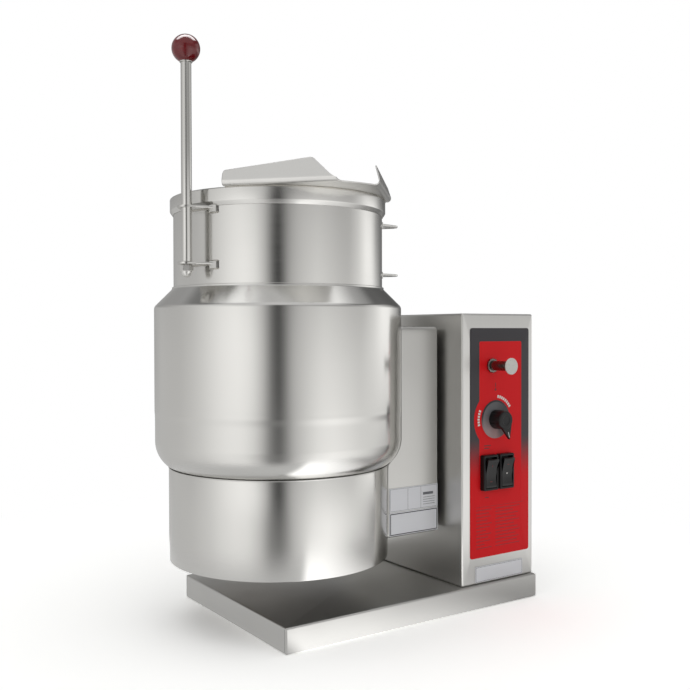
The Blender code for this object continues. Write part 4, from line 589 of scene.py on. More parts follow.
def make_lever():
    """Lever: stepped bar, ball, ring and domed nut, each a line of points turned about the bar."""
    low, high = corners("handle_rod")
    x, y, _ = middle_of("handle_rod")
    radius, thin = (high[0] - low[0]) / 2, 0.0045
    shoulder = corners("left_lower_bracket")[1][2] + GAP
    line = fillet([(0.0005, low[2]), (thin, low[2]), (thin, shoulder), (radius, shoulder), (radius, high[2]),
                   (0.0005, high[2])], (0.0006, 0.0003, 0.0008, 0.0006), 5)
    made = revolve("lever_rod", line, (x, y, 0), steps=64, caps=True)
    dress(made, ROD_STEEL, "kettle", ["handle_rod"])
    blow, bhigh = corners("ball_knob")
    ball = (bhigh[0] - blow[0]) / 2
    centre = bhigh[2] - ball
    foot = math.degrees(math.acos((radius + 0.0012) / ball))
    low_z = centre - ball * math.sin(math.radians(foot))
    line = np.vstack([
        arc((0, centre), ball, 89, -foot, 60),
        [(radius + GAP, low_z + 0.0004)],
        [(radius + GAP, centre - ball + 0.012), (0.0005, centre - ball + 0.012)],
    ])
    made = revolve("ball_grip", line, (x, y, 0), steps=128, caps=True)
    dress(made, PHENOLIC, "kettle", ["ball_knob"])
    ring = arc((radius + 0.0009, low_z - 0.0004), 0.0009, 0, 360, 13)[:-1]
    made = revolve("ball_ferrule_ring", ring, (x, y, 0), steps=64, loop=True)
    dress(made, CHROME, "kettle")
    nlow, nhigh = corners("handle_cap_nut")
    hexagonal, corner_r = nhigh[2] - 0.009, max(nhigh - nlow - (0, 0, 1)) / 2
    round_r = corner_r * math.cos(PI / 6) - 0.0003
    dome = arc((0, 0), 1, 0, -89, 14) * (round_r, hexagonal - nlow[2]) + (0, hexagonal)
    line = np.vstack([[(0.001, nhigh[2]), (corner_r * 0.88, nhigh[2]), (corner_r, nhigh[2] - 0.0012),
                       (corner_r, hexagonal + 0.0010), (corner_r * 0.93, hexagonal + 0.0002)], dome])

    def six(turn, h):
        return np.where(h > hexagonal + 0.0001, hexagon(turn), 1.0)

    made = revolve("domed_nut", line, (x, y, 0), steps=96, caps=True, swell=six)
    dress(made, LIP_STEEL, "kettle", ["handle_cap_nut"], sharp=30)
    for side, name in ((-1, "left"), (1, "right")):
        for level, hole in (("upper", radius), ("lower", thin)):
            make_bracket(f"{name}_{level}_bracket", side, x, y, hole)


def make_bracket(node, side, rod_x, rod_y, hole):
    """Gusset: two tangents from the drum round an eye. In direction t from the eye its edge is
    where the ray first meets the outline's sides or the drum; rings at that distance and at the
    hole's radius, above and below, make the plate. A tab stands on the drum below its front end."""
    sheet, eye, edge = 0.003, 0.0125, 0.0003
    top = corners(node)[1][2]
    centre = np.array([AXIS[0] - rod_x, AXIS[1] - rod_y])  # out to the side, and forward
    inner, ends = DRUM_R - sheet, []
    for degrees, way in ((1, 1), (28, -1)):
        root = arc((0, 0), inner, degrees, degrees, 1)[0]
        away = root - centre
        tangent = math.acos(eye / np.linalg.norm(away))
        ends.append((root, math.degrees(math.atan2(away[1], away[0]) + way * tangent)))
    (rear, start), (fore, end) = ends
    end = start + (end - start) % 360
    outline = np.vstack([rear, arc(centre, eye, start, end, 40), fore])
    turn = np.linspace(0, 2 * PI, 288, endpoint=False)
    ray = np.stack([np.cos(turn), np.sin(turn)], -1)
    first, step = outline - centre, np.roll(outline, -1, 0) - outline
    cross = ray[:, None, 0] * step[None, :, 1] - ray[:, None, 1] * step[None, :, 0]
    cross = np.where(np.abs(cross) < 1e-12, 1e-12, cross)
    far = (first[None, :, 0] * step[None, :, 1] - first[None, :, 1] * step[None, :, 0]) / cross
    share = (first[None, :, 0] * ray[:, None, 1] - first[None, :, 1] * ray[:, None, 0]) / cross
    reach = np.where((far > 0) & (share >= -1e-6) & (share <= 1 + 1e-6), far, 1.0).min(1)
    toward = -ray @ centre
    gap = toward**2 - (centre @ centre - SEAT_R**2)
    drum = np.where((gap > 0) & (toward > 0), toward - np.sqrt(np.maximum(gap, 0)), 1.0)
    reach = np.minimum(reach, drum)
    rings = []
    for r, z in ((hole + GAP, top), (reach - edge, top), (reach, top - edge), (reach, top - sheet + edge),
                 (reach - edge, top - sheet), (hole + GAP, top - sheet)):
        spot = centre + ray * np.broadcast_to(r, len(turn))[:, None]
        rings.append(np.column_stack([AXIS[0] + side * spot[:, 0], AXIS[1] - spot[:, 1],
                                      np.full(len(turn), z)]))
    made = skin(node + "_plate", np.array(rings), True, True)
    dress(made, ROD_STEEL, "kettle", [node])
    at = math.radians(28) - 0.0055 / DRUM_R
    away = np.array([side * math.cos(at), -math.sin(at), 0])
    middle = top - sheet / 2 - 0.0018
    origin = np.array([AXIS[0], AXIS[1], middle]) + away * (SEAT_R - 0.0004)
    tab = folded(node + "_tab", 0.0120, 0.0100, 0.0012, [(0, 0), (0, 0.0029), (0.0005, 0.0033)],
                 origin, np.cross(Z, away), Z, away, True)
    dress(tab, ROD_STEEL, "kettle")
    path = np.radians(np.linspace(3, 24, 60))
    path = np.stack([AXIS[0] + side * SEAT_R * np.cos(path), AXIS[1] - SEAT_R * np.sin(path),
                     np.full(60, top - sheet - 0.0001)], -1)
    weld(node + "_weld", path, 0.0011, "kettle")
    path = rounded_rectangle(0.0126, 0.0106, 0.001)
    path = origin + away * 0.0004 + path[:, :1] * np.cross(Z, away) + path[:, 1:] * Z
    weld(node + "_tab_weld", path, 0.0013, "kettle")


# Base and console


def make_pan():
    """Folded pan: flange under, walls, 3 mm bends and a flat top."""
    low, high = corners("base_pan")
    width, depth, height = high - low
    origin = middle_of("base_pan") * (1, 1, 0)
    bottom = arc((0.003, 0.003), 0.003, 270, 180, 6)
    top = arc((0.003, height - 0.003), 0.003, 180, 90, 7)
    line = np.vstack([[(0.020, 0)], bottom, top])
    made = folded("drip_pan", width, depth, 0.0025, line, origin, X, Y, Z)
    outward(made, origin + Z * height / 2)
    thicken(made, 0.002)
    dress(made, PAN, "console_and_base", ["base_pan"])
    marks = []
    for x, out in ((low[0], -0.00003), (high[0], 0.00003)):
        for y in (low[1] + 0.0030, high[1] - 0.0036):
            marks.append([(x + out, y, 0.003), (x + out, y + 0.0006, 0.003),
                          (x + out, y + 0.0006, height - 0.0025), (x + out, y, height - 0.0025)])
    seams = strokes("corner_seams", marks)
    dress(seams, SEAM, "console_and_base")


def make_console():
    """Folded case, open at the back behind its cover."""
    low, high = corners("console_body")
    width, depth, height = high - low
    x, _, z = middle_of("console_body")
    origin = np.array([x, high[1], z])
    back = arc((0.003, 0.003), 0.003, 270, 180, 6)
    front = arc((0.003, depth - 0.003), 0.003, 180, 90, 7)
    line = np.vstack([[(0.014, 0)], back, front])
    made = folded("console_case", width, height, 0.003, line, origin, X, Z, -Y)
    outward(made, origin - Y * depth / 2)
    thicken(made, 0.0015)
    dress(made, WALL, "console_and_base", ["console_body"])
    cover = block("rear_cover", *corners("console_rear_cover"), 0.002, 1, 0.0004)
    dress(cover, WALL, "console_and_base", ["console_rear_cover"])


def make_gland():
    """Nylon cable gland: hexagon, grip ribs and an open bore."""
    low, high = corners("cable_gland")
    x, _, z = middle_of("cable_gland")
    flat, end = (high[2] - low[2]) / 2, high[1]
    base = corners("console_rear_cover")[1][1] + GAP
    line = fillet(
        [(0.005, low[1] - base), (0.010, low[1] - base), (0.010, 0), (flat, 0), (flat, 0.005),
         (0.9 * flat, 0.0052), (0.9 * flat, 0.017), (0.72 * flat, end - base),
         (0.005, end - base), (0.005, low[1] - base + 0.001)],
        (0.0004, 0, 0.0006, 0.0006, 0.0002, 0.001, 0.0015, 0.0008), 4,
    )

    def ribs(turn, h):
        nut = (h > 0) & (h < 0.0051)
        grip = (h > 0.006) & (h < 0.0165)
        return np.where(nut, hexagon(turn), np.where(grip, 1 - 0.035 * np.cos(14 * turn) ** 2, 1.0))

    made = revolve("gland_body", line, (x, base, z), Y, steps=168, loop=True, swell=ribs)
    dress(made, BLACK_NYLON, "console_and_base", ["cable_gland"], sharp=30)


def overlay_film():
    """Screen-printed polyester: charcoal at the top, running out into red between the dial and the
    switches. The skin is the red film's."""
    made = surface("printed_polyester_fade", "D8191F", 0.42, 0.0, 2000, 0.03, 0.05, 0.02, 0.12,
                   IOR=1.6, Specular_IOR_Level=0.12)
    tree = made.node_tree
    split = add(tree, "SeparateXYZ", {0: add(tree, "TexCoord").outputs["Object"]})
    share = add(tree, "MapRange", {0: split.outputs[2], 1: 0.190, 2: 0.262}, interpolation_type="SMOOTHSTEP")
    mixed = add(tree, "Mix", {0: share, 6: linear("E0181F"), 7: linear("4A484B")}, data_type="RGBA")
    join(tree, mixed, tree.nodes["Principled BSDF"], "Base Color")
    return made


def polar_plate(name, centre, radius, y, thick=0.0001):
    """A thin plate that faces the front, its edge at radius(t) from a centre."""
    turn = np.linspace(0, 2 * PI, 720, endpoint=False)
    r = radius(turn)
    rings = []
    for depth in (0.0, -thick):
        rings.append(np.stack([centre[0] + r * np.cos(turn), np.full_like(turn, y + depth),
                               centre[1] + r * np.sin(turn)], -1))
    return skin(name, np.array(rings), True, False, True)


def dial_centre():
    """The dial's middle, across and up."""
    return middle_of("thermostat_dial")[[0, 2]]


def make_overlay():
    """Overlay with a red field: distance from the dial's centre to the field's sides in direction
    t, but never less than 43 mm, so that the field bulges round the dial. Its marks are plain."""
    low, high = corners("control_panel")
    y = low[1]
    back = block("overlay_frame", (low[0], y, low[2]), high, 0.004, 1, 0.0002)
    dress(back, overlay_film(), "console_and_base", ["control_panel"])
    dial = dial_centre()
    left, right = dial[0] - low[0] - 0.0185, high[0] - 0.0165 - dial[0]
    bottom, top = dial[1] - low[2] - 0.0015, high[2] - 0.0205 - dial[1]

    def field(turn):
        c, s = np.cos(turn), np.sin(turn)
        across = np.where(c > 0, right, left) / np.maximum(np.abs(c), 1e-6)
        up = np.where(s > 0, top, bottom) / np.maximum(np.abs(s), 1e-6)
        soft = 0.0012 * np.maximum(0, 1 - np.abs(across - up) / 0.004) ** 2
        return np.maximum(np.minimum(across, up) - soft, 0.0445)

    plate = polar_plate("overlay_field", dial, field, y + 0.00001, 0.00012)
    dress(plate, RED_FILM, "console_and_base")
    y -= 0.00014
    marks = []
    for start, stop, count in ((157, 192, 6), (33, 81, 8)):
        t = np.radians(np.linspace(start, stop, count))[:, None, None]
        out = np.concatenate([np.cos(t), np.sin(t)], -1)
        side = np.concatenate([-np.sin(t), np.cos(t)], -1)
        along = np.array([-1, 1, 1, -1])[None, :, None] * 0.0022
        across = np.array([-1, -1, 1, 1])[None, :, None] * 0.0015
        spot = dial + out * (0.0352 + along) + side * across
        marks.append(np.stack([spot[..., 0], np.full(spot.shape[:2], y), spot[..., 1]], -1))
    dashes = strokes("scale_dashes", np.vstack(marks))
    dress(dashes, INK["white"], "console_and_base")
    x, z = dial
    dark = np.vstack([
        front_marks(x - 0.0016, x + 0.0016, z + 0.0440, z + 0.0475, y),
        front_marks(x - 0.0008, x + 0.0008, z + 0.0490, z + 0.0560, y),
        front_marks(x + np.array([-0.024, -0.024]), x + np.array([-0.010, -0.013]),
                    z - np.array([0.0405, 0.0445]), z - np.array([0.0390, 0.0430]), y),
        front_marks(x - 0.022, x - 0.014, low[2] + 0.0905, low[2] + 0.0918, y),
    ])
    made = strokes("dark_marks", dark)
    dress(made, INK["dark_red"], "console_and_base")
    lines = np.linspace(low[2] + 0.014, low[2] + 0.072, 12)
    ends = np.array([0, 6, 2, 9, 0, 4, 12, 1, 7, 3, 15, 0]) / 1000
    rows = np.vstack([
        front_marks(low[0] + 0.052, high[0] - 0.020 - ends, lines, lines + 0.0013, y),
        front_marks(low[0] + 0.012, low[0] + 0.044 - ends[::-1], lines, lines + 0.0013, y),
        front_marks(low[0] + 0.012, high[0] - 0.012, low[2] + 0.0770, low[2] + 0.0776, y),
    ])
    ruled = strokes("ruled_lines", rows)
    dress(ruled, INK["red_rule"], "console_and_base")


def dial_painted_shade():
    """Dial grey with painted light and shade: an outer charcoal ring over the top and right painted as
    shadow, grey inside it, and pale, pinkish painted light towards the lower left, by distance and
    angle from the dial's centre."""
    made = surface("dial_grey_painted_light_and_shade", "6A6C70", 0.42, 0.0, 2000, 0.08, 0.05, 0.0, 0.1, IOR=1.5)
    tree = made.node_tree
    x, z = dial_centre()
    spot = add(tree, "TexCoord").outputs["Object"]
    moved = add(tree, "Mapping", {"Vector": spot, "Location": (-x, 0, -z)})
    across, _, up = add(tree, "SeparateXYZ", {0: moved}).outputs
    turned = add(tree, "Math", {0: up, 1: across}, operation="ARCTAN2")
    share = add(tree, "MapRange", {0: turned, 1: -PI, 2: PI})
    # Painted light and shade by angle: pale and pinkish towards the bottom and lower left, dark towards the
    # right.
    stops = ((0.0, "7E7476"), (0.14, "A08A8A"), (0.25, "A07C7C"), (0.32, "503C3E"), (0.42, "1E1E20"),
             (0.62, "2A2B2E"), (0.74, "5A5B5E"), (0.88, "66676A"), (1.0, "7E7476"))
    ramp = add(tree, "ValToRGB", {0: share}, [(place, linear(code)) for place, code in stops])
    flat = add(tree, "CombineXYZ", {0: across, 1: up})
    away = add(tree, "VectorMath", {0: flat}, operation="LENGTH").outputs["Value"]
    # Painted shadow: the charcoal outer ring over the upper half.
    rim = add(tree, "MapRange", {0: away, 1: 0.0262, 2: 0.0270})
    upper = add(tree, "MapRange", {0: up, 1: -0.012, 2: 0.006})
    ring = add(tree, "Math", {0: rim, 1: upper}, operation="MULTIPLY")
    mixed = add(tree, "Mix", {0: ring, 6: ramp, 7: linear("242427")}, data_type="RGBA")
    join(tree, mixed, tree.nodes["Principled BSDF"], "Base Color")
    return made


def make_dial():
    """Thin printed ring round the spindle, with painted light and shade on its grey."""
    low, high = corners("thermostat_dial")
    dial, radius = dial_centre(), (high[0] - low[0]) / 2
    line = fillet([(0.0065, 0), (radius, 0), (radius, 0.0005), (0.0065, 0.0005), (0.0065, 0.0001)],
                  (0.0001, 0.0002, 0.0), 3)
    made = revolve("dial_disc", line, (dial[0], high[1], dial[1]), -Y, steps=128, loop=True)
    dress(made, dial_painted_shade(), "console_and_base", ["thermostat_dial"])


def make_knob():
    """Fluted grip on a spindle, with a teardrop pointer flange near its front."""
    low, dial = corners("thermostat_knob")[0], dial_centre()
    back, front, grip = corners("thermostat_dial")[0][1] - GAP, low[1] + 0.0035, 0.015
    length = back - front
    line = fillet(
        [(0.0005, 0), (0.97 * grip, 0), (grip, 0.0016), (0.93 * grip, 0.93 * length),
         (0.86 * grip, length), (0.5 * grip, length), (0.46 * grip, length - 0.0006),
         (0.0005, length - 0.0006)],
        (0.0003, 0.0006, 0.0008, 0.0008, 0.0003, 0.0003), 4,
    )

    def flutes(turn, h):
        wave = np.cos(3 * (turn + 0.3)) ** 2
        return np.where((h > 0.001) & (h < 0.7 * length), 1 - 0.07 * np.clip(wave * 3 - 2, 0, 1), 1.0)

    made = revolve("knob_grip", line, (dial[0], back, dial[1]), -Y, steps=192, caps=True, swell=flutes)
    dress(made, BLACK_ABS, "thermostat_knob", ["thermostat_knob"])
    point, root, reach = math.radians(-74), 0.87 * grip, 0.031
    half = math.acos(root / reach)

    def teardrop(turn):
        """A circle with two tangents to a tip: root over the cosine from the nearer touch point."""
        away = np.abs(np.mod(turn - point + PI, 2 * PI) - PI)
        return np.where(away < half, root / np.cos(half - away), root)

    y = front + 0.0052
    pointer = polar_plate("knob_pointer", dial, teardrop, y, 0.0042)
    dress(pointer, BLACK_ABS, "thermostat_knob")
    out = np.array([math.cos(point), math.sin(point)])
    side = np.array([-out[1], out[0]])
    spots = ((0.019, -0.0005), (0.028, -0.0005), (0.028, 0.0005), (0.019, 0.0005))
    ends = [dial + out * a + side * b for a, b in spots]
    line = strokes("pointer_line", [[(p[0], y - 0.00425, p[1]) for p in ends]])
    dress(line, INK["white"], "thermostat_knob")


def make_switch(side):
    """Snap-in rocker: raised bezel with a well, and a hollow-faced rocker in it. With u the distance
    from its middle as a share of its half height, its face stands 8 mm + 4.2 mm u^1.7 out, and all
    of it is tipped by 7 degrees."""
    low, high = corners(f"{side}_switch_body")
    x, _, z = middle_of(f"{side}_switch_body")
    width, _, height = high - low
    face = corners("control_panel")[0][1] - GAP
    rise = face - low[1]
    line = fillet([(0, 0), (0, rise - 0.001), (0.0012, rise), (0.0030, rise), (0.0034, rise - 0.0012),
                   (0.0034, rise - 0.0075)], (0.0005, 0.0006, 0.0005, 0.0003), 4)
    made = folded(f"{side}_bezel", width, height, 0.0022, line, (x, face, z), X, Z, -Y, True)
    dress(made, BLACK_ABS, "console_and_base", [f"{side}_switch_body"])
    rlow, rhigh = corners(f"{side}_rocker")
    wide, _, tall = rhigh - rlow
    half, tilt = tall / 2 * 0.985, math.radians(7)

    def hollow(up):
        """How far out the face stands at a share of its half height."""
        return 0.0080 + 0.0042 * np.abs(up) ** 1.7

    def tipped(across, out, up):
        """Points on the tipped rocker, from distances across, out and up."""
        return np.stack([x + across + 0 * up, face - (out * math.cos(tilt) + up * math.sin(tilt)),
                         z + up * math.cos(tilt) - out * math.sin(tilt)], -1)

    share = np.linspace(0.9, -0.9, 17)
    outline = np.vstack([
        [(-0.004, -0.55 * half), (-0.004, 0.55 * half)],
        arc((0.0100, 0.94 * half), 0.0015, 10, 90, 4)[::-1],
        np.stack([hollow(share), share * half], -1),
        arc((0.0100, -0.94 * half), 0.0015, -10, -90, 4),
    ])
    rings, bevel = [], 0.0007
    away = outline - outline.mean(0)
    away /= np.linalg.norm(away, axis=1)[:, None]
    for across, inset in ((-wide / 2, bevel), (bevel - wide / 2, 0), (wide / 2 - bevel, 0),
                          (wide / 2, bevel)):
        rings.append(tipped(across, *(outline - away * inset).T))
    rocker = skin(f"{side}_rocker_cap", np.array(rings), True, False, True)
    dress(rocker, BLACK_GLOSS, f"{side}_rocker", [f"{side}_rocker"])
    marks = [(-0.0022, 0.0022, -0.0130, -0.0120), (-0.0005, 0.0005, 0.0100, 0.0140)]
    if side == "right":
        marks = [(-0.0022, 0.0022, 0.0115, 0.0125), (-0.0011, 0.0011, -0.0035, -0.0013)]
    for number, (x0, x1, u0, u1) in enumerate(marks):
        up = np.array([u0, u0, u1, u1])
        spot = tipped(np.array([x0, x1, x1, x0]), hollow(up / half) + 0.00006, up)
        mark = strokes(f"{side}_rocker_mark_{number + 1}", [spot])
        pale = side == "right" and number == 1
        dress(mark, INK["white" if pale else "dark_red"], f"{side}_rocker")


def make_button():
    """Turned stem with a white cap, in a plated bush; all are turned about the button's axis."""
    low, high = corners("reset_button")
    x, _, z = middle_of("reset_button")
    disc = 0.96 * (high[0] - low[0]) / 2
    stem, front = 0.0075, low[1]
    cap = fillet([(0.0005, 0.0032), (0.62 * disc, 0.0032), (0.72 * disc, 0.0026), (0.9 * disc, 0.0029),
                  (disc, 0.0018), (disc, 0.0), (0.0005, 0.0)], (0.001, 0.001, 0.001, 0.001, 0.0004), 4)
    made = revolve("button_cap", cap, (x, front + 0.0032, z), -Y, steps=96, caps=True)
    dress(made, WHITE_ABS, "reset_button", ["reset_button"])
    length = high[1] - front - 0.0032
    rod = [(0.0005, 0), (stem, 0), (stem, length), (0.0005, length)]
    made = revolve("button_stem", rod, (x, front + 0.0032, z), Y, steps=64, caps=True)
    # The stem's brown-grey is a painted reflection of the red panel.
    dress(made, PAINTED_REFLECTION_STEEL, "reset_button")
    blow, bhigh = corners("button_bush")
    nut = (bhigh[0] - blow[0]) / 2
    depth = bhigh[1] - blow[1]
    line = fillet([(stem + GAP, 0), (0.86 * nut, 0), (nut, 0.0010), (nut, 0.0040), (0.0095, 0.0040),
                   (0.0095, depth), (stem + GAP, depth), (stem + GAP, 0.0005)],
                  (0.0003, 0.0004, 0.0003, 0.0, 0.0003, 0.0), 3)

    def grip(turn, h):
        """Twelve ribs round the nut."""
        return np.where((h > 0.0005) & (h < 0.0042), 0.965 + 0.035 * np.cos(12 * turn), 1.0)

    made = revolve("button_nut", line, (x, blow[1], z), Y, steps=96, loop=True, swell=grip)
    # The nut shares the painted reflection: plated metal toned dark brown-grey.
    dress(made, PAINTED_REFLECTION_STEEL, "console_and_base", ["button_bush"], sharp=30)


def outline_marks(x0, x1, z0, z1, y, wide):
    """A thin printed frame, as four marks."""
    return np.vstack([
        front_marks(x0, x1, z0, z0 + wide, y), front_marks(x0, x1, z1 - wide, z1, y),
        front_marks(x0, x0 + wide, z0, z1, y), front_marks(x1 - wide, x1, z0, z1, y),
    ])


def make_plates():
    """Foil plates with printed frames and no words."""
    for node, body in (("name_plate", "console_and_base"), ("upper_label_plate", "kettle"),
                       ("lower_label_plate", "kettle")):
        low, high = corners(node)
        made = block(node + "_foil", low, high, 0.001, 1, 0.0001)
        dress(made, FOIL, body, [node])
        y, edge, wide = low[1] - 0.00004, 0.0012, 0.0013 if node == "lower_label_plate" else 0.0004
        marks = outline_marks(low[0] + edge, high[0] - edge, low[2] + edge, high[2] - edge, y, wide)
        if node == "upper_label_plate":
            x = low[0] + (high[0] - low[0]) * np.array([0.37, 0.64])
            bars = front_marks(x, x + 0.0005, low[2] + edge, high[2] - edge, y)
            z = low[2] + np.array([0.006, 0.0095, 0.013, 0.0165])
            rows = front_marks(high[0] - 0.029, high[0] - 0.006, z, z + 0.0006, y)
            block_mark = front_marks(high[0] - 0.029, high[0] - 0.009, low[2] + 0.0205, low[2] + 0.0245, y)
            marks = np.vstack([marks, bars, rows, block_mark])
        made = strokes(node + "_print", marks)
        dress(made, INK["grey" if node == "upper_label_plate" else "black"], body)


# Fittings at the back


def make_valve():
    """Brass safety valve: hexagon, body, spring cap and stem on a side nipple."""
    low, high = corners("safety_valve")
    x, r = (low[0] + high[0]) / 2, 0.013
    y = high[1] - r
    body_low = low[2]
    body_high = body_low + 0.046
    z = body_low + 0.023
    line = fillet(
        [(0.0005, body_low), (0.8 * r, body_low), (0.86 * r, body_low + 0.004), (r, body_low + 0.0105),
         (r, body_low + 0.022),
         (0.84 * r, body_low + 0.0235), (0.84 * r, body_low + 0.036), (0.98 * r, body_low + 0.0375),
         (0.98 * r, body_high),
         (0.009, body_high), (0.009, body_high + 0.0105), (0.0075, body_high + 0.012),
         (0.0025, body_high + 0.012), (0.0025, body_high + 0.016), (0.0005, body_high + 0.016)],
        (0.0006, 0.001, 0.001, 0.0005, 0.0005, 0.0005, 0.0005, 0.0006, 0.0003, 0.0006, 0.0006, 0.0, 0.0005),
        4,
    )

    def six(turn, h):
        return np.where((h > body_low + 0.0095) & (h < body_low + 0.0225), hexagon(turn), 1.0)

    made = revolve("valve_body", line, (x, y, 0), steps=96, caps=True, swell=six)
    dress(made, BRASS, "kettle", ["safety_valve"], sharp=30)
    start = AXIS[1] + JACKET_R - 0.002
    nipple = fillet([(0.0005, 0), (0.0105, 0), (0.0105, 0.008), (0.0122, 0.009), (0.0122, 0.014),
                     (0.0105, 0.015), (0.0105, y - start), (0.0005, y - start)],
                    (0.0, 0.0003, 0.0005, 0.0005, 0.0003, 0.0), 3)
    made = revolve("valve_nipple", nipple, (x, start, z), Y, steps=96, caps=True,
                   swell=lambda t, h: np.where((h > 0.0082) & (h < 0.0145), hexagon(t), 1.0))
    dress(made, BRASS, "kettle", sharp=30)
    llow, lhigh = corners("safety_valve_lever")
    ear = block("valve_ear", (llow[0], lhigh[1] + GAP, body_high + 0.006),
                (llow[0] + 0.004, lhigh[1] + 0.0023, lhigh[2]), 0.0008, 1, 0.0004)
    dress(ear, BRASS, "kettle")
    foot = block("valve_ear_foot", (llow[0], y, body_high + 0.005),
                 (llow[0] + 0.004, lhigh[1] + 0.0023, body_high + 0.008), 0.0008, 1, 0.0004)
    dress(foot, BRASS, "kettle")


def make_gauge():
    """Pressure gauge: rolled case, white face with a plain scale, needle and window."""
    low, high = corners("pressure_gauge")
    turn = math.radians(32)
    away = np.array([math.sin(turn), math.cos(turn), 0])
    z = (low[2] + high[2]) / 2
    start = np.array([AXIS[0], AXIS[1], z]) + away * (JACKET_R + 0.020)
    r, deep = 0.024, 0.018
    case = fillet([(0.0005, 0), (0.92 * r, 0), (r, 0.003), (r, deep - 0.0015), (0.96 * r, deep),
                   (0.89 * r, deep), (0.87 * r, deep - 0.003), (0.0005, deep - 0.003)],
                  (0.001, 0.002, 0.0008, 0.0008, 0.0008, 0.0003), 4)
    made = revolve("gauge_case", case, start, away, steps=128, caps=True)
    dress(made, CHROME, "kettle", ["pressure_gauge"])
    pipe = fillet([(0.0005, -0.022), (0.006, -0.022), (0.006, -0.012), (0.0085, -0.012), (0.0085, -0.004),
                   (0.006, -0.0035),
                   (0.006, 0.0), (0.0005, 0.0)], (0.0, 0.0003, 0.0003, 0.0003, 0.0003, 0.0), 3)
    made = revolve("gauge_stem", pipe, start, away, steps=72, caps=True,
                   swell=lambda t, h: np.where((h > -0.0121) & (h < -0.0039), hexagon(t), 1.0))
    dress(made, BRASS, "kettle", sharp=30)
    face = revolve("gauge_face", [(0.0005, 0), (0.86 * r, 0), (0.86 * r, 0.0004), (0.0005, 0.0004)],
                   start + away * (deep - 0.0031), away, steps=96, caps=True)
    dress(face, ENAMEL, "kettle")
    side, level = np.cross(Z, away), start + away * (deep - 0.0026)

    def mark(degrees, lift, ends):
        """Corners of a mark at an angle, from shares of the radius out and distances across."""
        t = math.radians(degrees)
        out, cross = math.cos(t) * side + math.sin(t) * Z, -math.sin(t) * side + math.cos(t) * Z
        return [level + away * lift + out * r * a + cross * b for a, b in ends]

    marks = []
    for number, degrees in enumerate(np.linspace(225, -45, 28)):
        inner, wide = (0.66, 0.00035) if number % 3 == 0 else (0.74, 0.00018)
        marks.append(mark(degrees, 0, ((inner, -wide), (0.82, -wide), (0.82, wide), (inner, wide))))
    marks.append(mark(225, 0.0003, ((-0.2, -0.0007), (0.7, -0.0002), (0.7, 0.0002), (-0.2, 0.0007))))
    made = strokes("gauge_scale", marks)
    outward(made, tuple(start))
    dress(made, INK["black"], "kettle")


def dress_nodes():
    """Finish of the CAD nodes that stay."""
    looks = {
        "satin_stainless": WALL, "bright_stainless": ROD_STEEL, "plated_steel": PLATE_STEEL, "brass": BRASS,
        "bearing_bronze": BRONZE, "black_plastic": BLACK_NYLON, "red_overlay": RED_FILM,
        "maroon_phenolic": PHENOLIC, "white_plastic": WHITE_ABS, "label_foil": FOIL,
    }
    slots = {part["node"]: part["material_slot"] for part in frame["record"]["subparts"]}
    for name, node in frame["nodes"].items():
        # The bottom cover gets the sheet darkened as painted shade.
        look = SHADED_UNDERSIDE if name == "skirt_bottom_cover" else looks[slots[name]]
        if not node.material_slots:
            node.data.materials.append(look)
        for place in node.material_slots:
            place.material = look


# Stage


# Levels of the studio by degrees round from the camera: below the horizon
FLOOR_LEVEL = (
    (-180, 0.5), (-150, 0.6), (-100, 0.7), (-75, 0.84), (-60, 1.0), (-45, 1.1), (-32, 1.06),
    (-20, 0.78), (-9, 0.3), (0, 0.2), (7, 0.36), (14, 0.68), (24, 0.96), (35, 1.26), (50, 1.38),
    (65, 1.24), (80, 1.04), (98, 0.8), (115, 0.4), (140, 0.2), (180, 0.5),
)
# Just below it
EYE_LEVEL = (
    (-180, 0.3), (-150, 0.5), (-133, 0.64), (-98, 0.66), (-84, 0.76), (-70, 0.92), (-52, 1.2),
    (-36, 1.34), (-24, 1.26), (-14, 0.84), (-6, 0.18), (0, 0.0), (5, 0.2), (11, 0.62), (18, 0.74),
    (28, 0.86), (40, 1.0), (58, 0.9), (78, 0.8), (94, 1.02), (108, 1.28), (124, 1.34), (138, 0.8),
    (152, 0.15), (180, 0.2),
)
# Just above it
DRUM_LEVEL = (
    (-180, 0.3), (-140, 0.55), (-100, 0.6), (-84, 0.68), (-68, 0.9), (-52, 1.16), (-38, 1.32),
    (-26, 1.18), (-15, 0.64), (-6, 0.1), (0, 0.02), (6, 0.26), (14, 0.6), (26, 0.84), (42, 0.96),
    (56, 0.84), (70, 0.68), (82, 0.62), (96, 0.88), (110, 1.45), (120, 1.35), (134, 0.45),
    (150, 0.2), (180, 0.25),
)
# Up to where the ceiling starts
ABOVE_LEVEL = (
    (-180, 0.5), (-168, 0.4), (-152, 0.36), (-120, 0.5), (-80, 0.78), (-45, 0.98), (-16, 0.72),
    (-6, 0.22), (0, 0.06), (6, 0.26), (20, 0.5), (66, 0.42), (84, 0.52), (104, 0.95), (125, 0.55),
    (145, 0.12), (168, 0.1), (180, 0.5),
)
# Levels of the ceiling by height, on the left and on the right
LEFT_SIDE = (
    (0.48, 0.36), (0.6, 0.42), (0.7, 0.24), (0.78, 0.22), (0.83, 0.42), (0.875, 0.8), (0.92, 1.3),
    (0.955, 1.4), (0.98, 1.0), (0.994, 0.55), (1.0, 0.3),
)
RIGHT_SIDE = (
    (0.48, 0.12), (0.6, 0.14), (0.68, 0.38), (0.76, 0.5), (0.82, 0.85), (0.87, 1.28), (0.915, 1.05),
    (0.955, 0.6), (0.975, 0.4), (0.99, 0.48), (1.0, 0.5),
)


